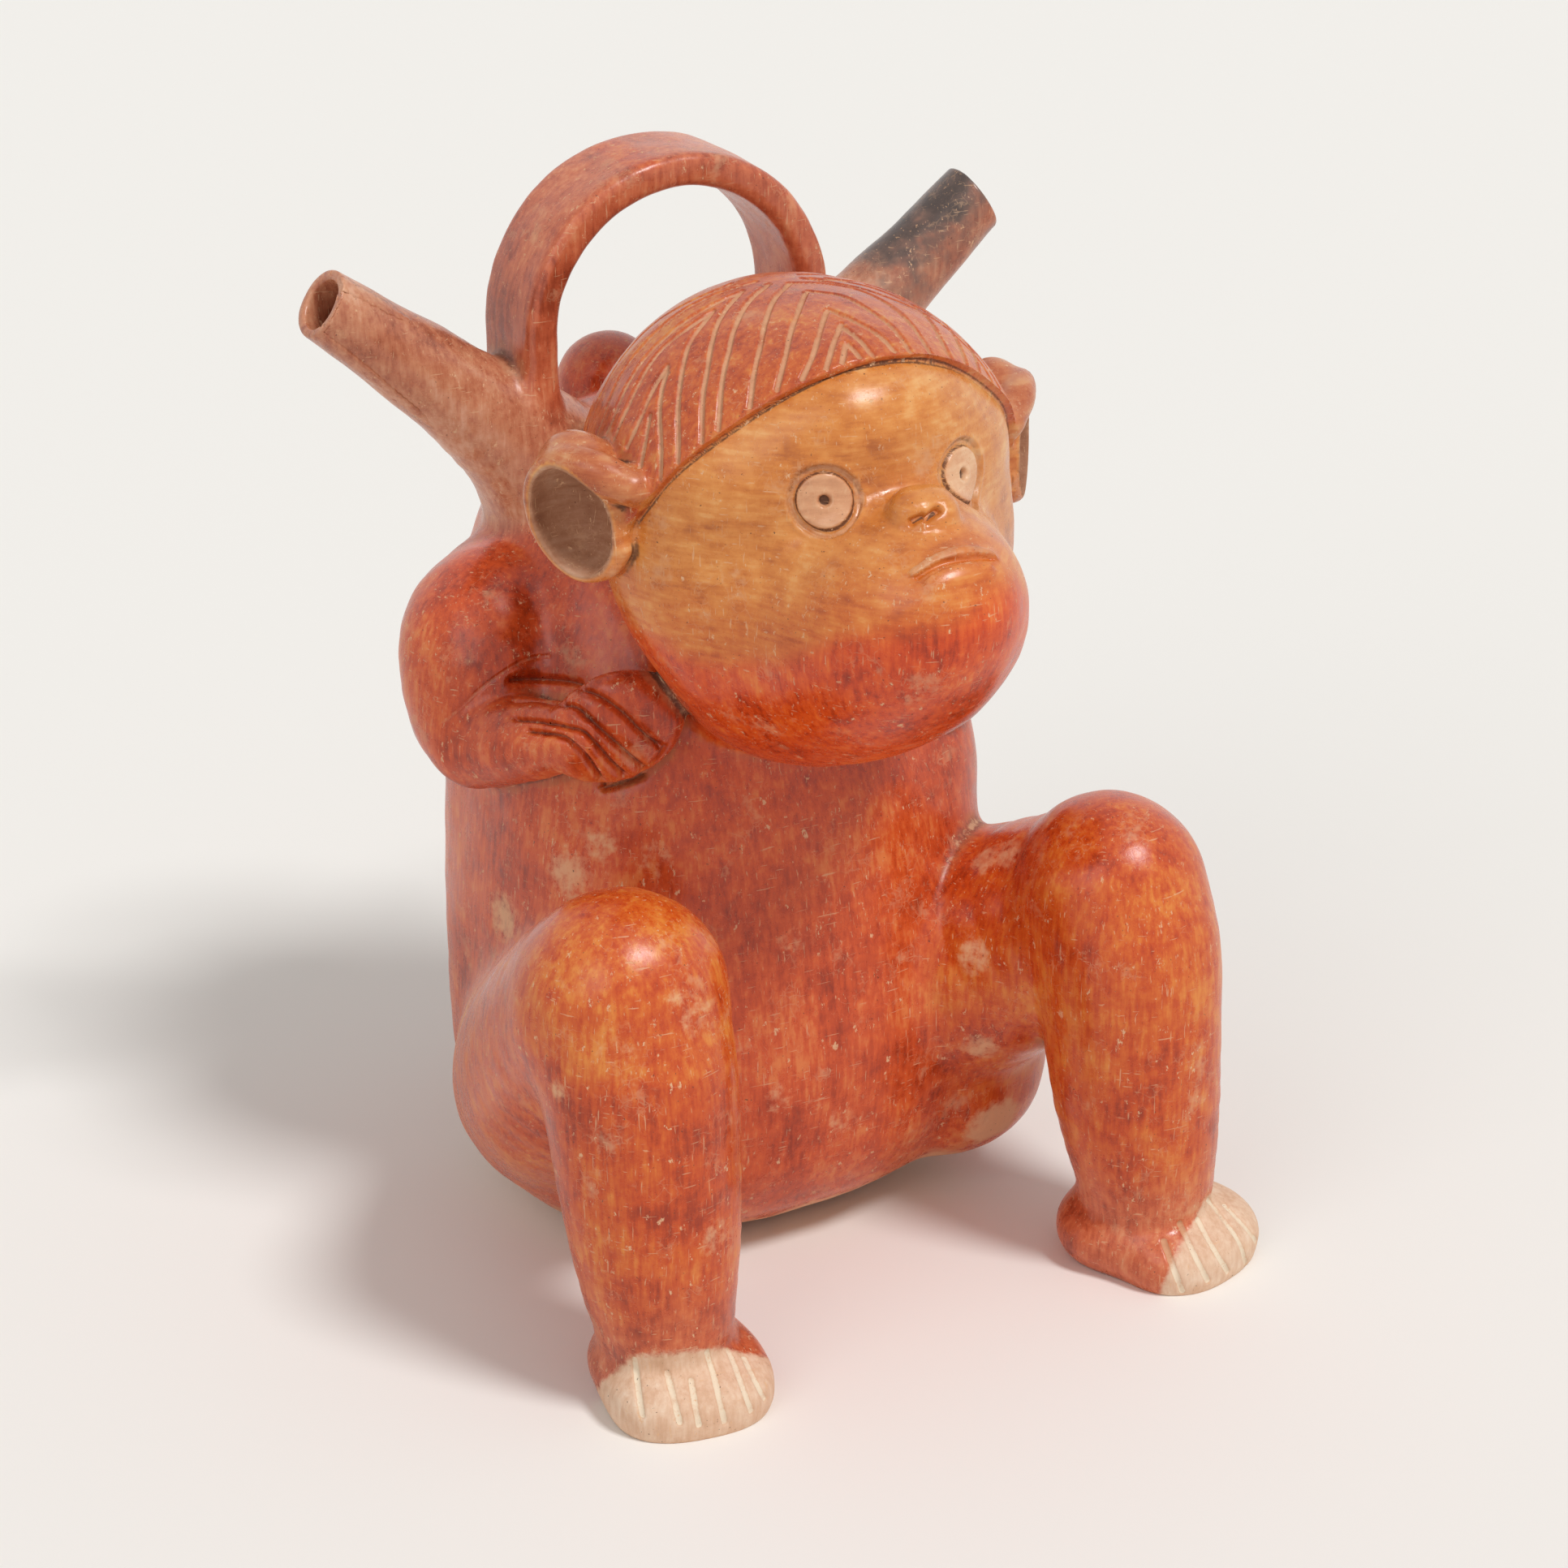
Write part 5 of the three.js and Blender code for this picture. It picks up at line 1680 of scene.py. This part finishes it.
    # Fine relief in metres: pebble strokes, orange-peel unevenness, pits and chips
    relief = add(tree, "Bump", inputs={"Strength": RELIEF_STRENGTH, "Distance": RELIEF_HEIGHT,
                                       "Height": sums["height"]}).outputs[0]
    tree.links.new(relief, shader.inputs["Normal"])
    return material


slips = {part["slot"]: burnished_slip(part["slot"]) for part in frame["record"]["materials"]}
for piece in pieces.values():
    piece.data.materials.append(slips[piece["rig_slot"]])
print("slips:", sorted(slips), "with", len(slips["red_slip"].node_tree.nodes), "nodes each")

# %% [markdown]
# ## Table, light and camera
#
# The pot stands on a plain pale table under a broad soft light from above and to the right,
# as a museum photographs its pots. A weaker light from the left shapes the shadow side. The
# world is plain white where the camera, a mirror or glass sees it, and dimmer as a lamp.

# %% Floor of pale paper
FLOOR_HALF = 30.0
floor_corners = [(x_side * FLOOR_HALF, y_side * FLOOR_HALF, 0)
                 for x_side, y_side in ((-1, -1), (1, -1), (1, 1), (-1, 1))]
floor_mesh = bpy.data.meshes.new("floor")
floor_mesh.from_pydata(floor_corners, [], [(0, 1, 2, 3)])
floor = bpy.data.objects.new("floor", floor_mesh)
bpy.context.collection.objects.link(floor)

paper = bpy.data.materials.new("pale_paper")
paper.use_nodes = True
paper_shader = paper.node_tree.nodes["Principled BSDF"]
paper_shader.inputs["Base Color"].default_value = linear("#F4F2EE")
paper_shader.inputs["Roughness"].default_value = 0.9
floor_mesh.materials.append(paper)
print("floor:", 2 * FLOOR_HALF, "m wide")

# %% World
WORLD_STRENGTH = 0.44
world = bpy.data.worlds.new("studio")
bpy.context.scene.world = world
world.use_nodes = True
tree = world.node_tree
lamp_light = tree.nodes["Background"]
lamp_light.inputs["Color"].default_value = (1.0, 0.985, 0.96, 1)
lamp_light.inputs["Strength"].default_value = WORLD_STRENGTH
white = add(tree, "Background", inputs={"Color": (1, 1, 1, 1), "Strength": 1.0}).outputs[0]
rays = add(tree, "LightPath").outputs
seen = rays["Is Camera Ray"]
for kind in ("Is Glossy Ray", "Is Transmission Ray"):
    seen = add(tree, "Math", {"operation": "MAXIMUM"}, {0: seen, 1: rays[kind]}).outputs[0]
mix = add(tree, "MixShader", inputs={0: seen, 1: lamp_light.outputs[0], 2: white}).outputs[0]
tree.links.new(mix, tree.nodes["World Output"].inputs[0])

# %% Lamps: the way the light goes, how broad it is in degrees, and its strength
LAMPS = {"key": ((-0.25, 0.62, -1.0), 14, 1.7), "left_fill": ((0.85, 0.45, -0.7), 35, 0.4)}
for name, (way, breadth, strength) in LAMPS.items():
    lamp = bpy.data.objects.new(name, bpy.data.lights.new(name, "SUN"))
    lamp.data.angle, lamp.data.energy = radians(breadth), strength
    lamp.rotation_euler = Vector(way).to_track_quat("-Z", "Y").to_euler()
    bpy.context.collection.objects.link(lamp)
bpy.context.scene.view_settings.view_transform = "Standard"
print("lamps:", list(LAMPS))
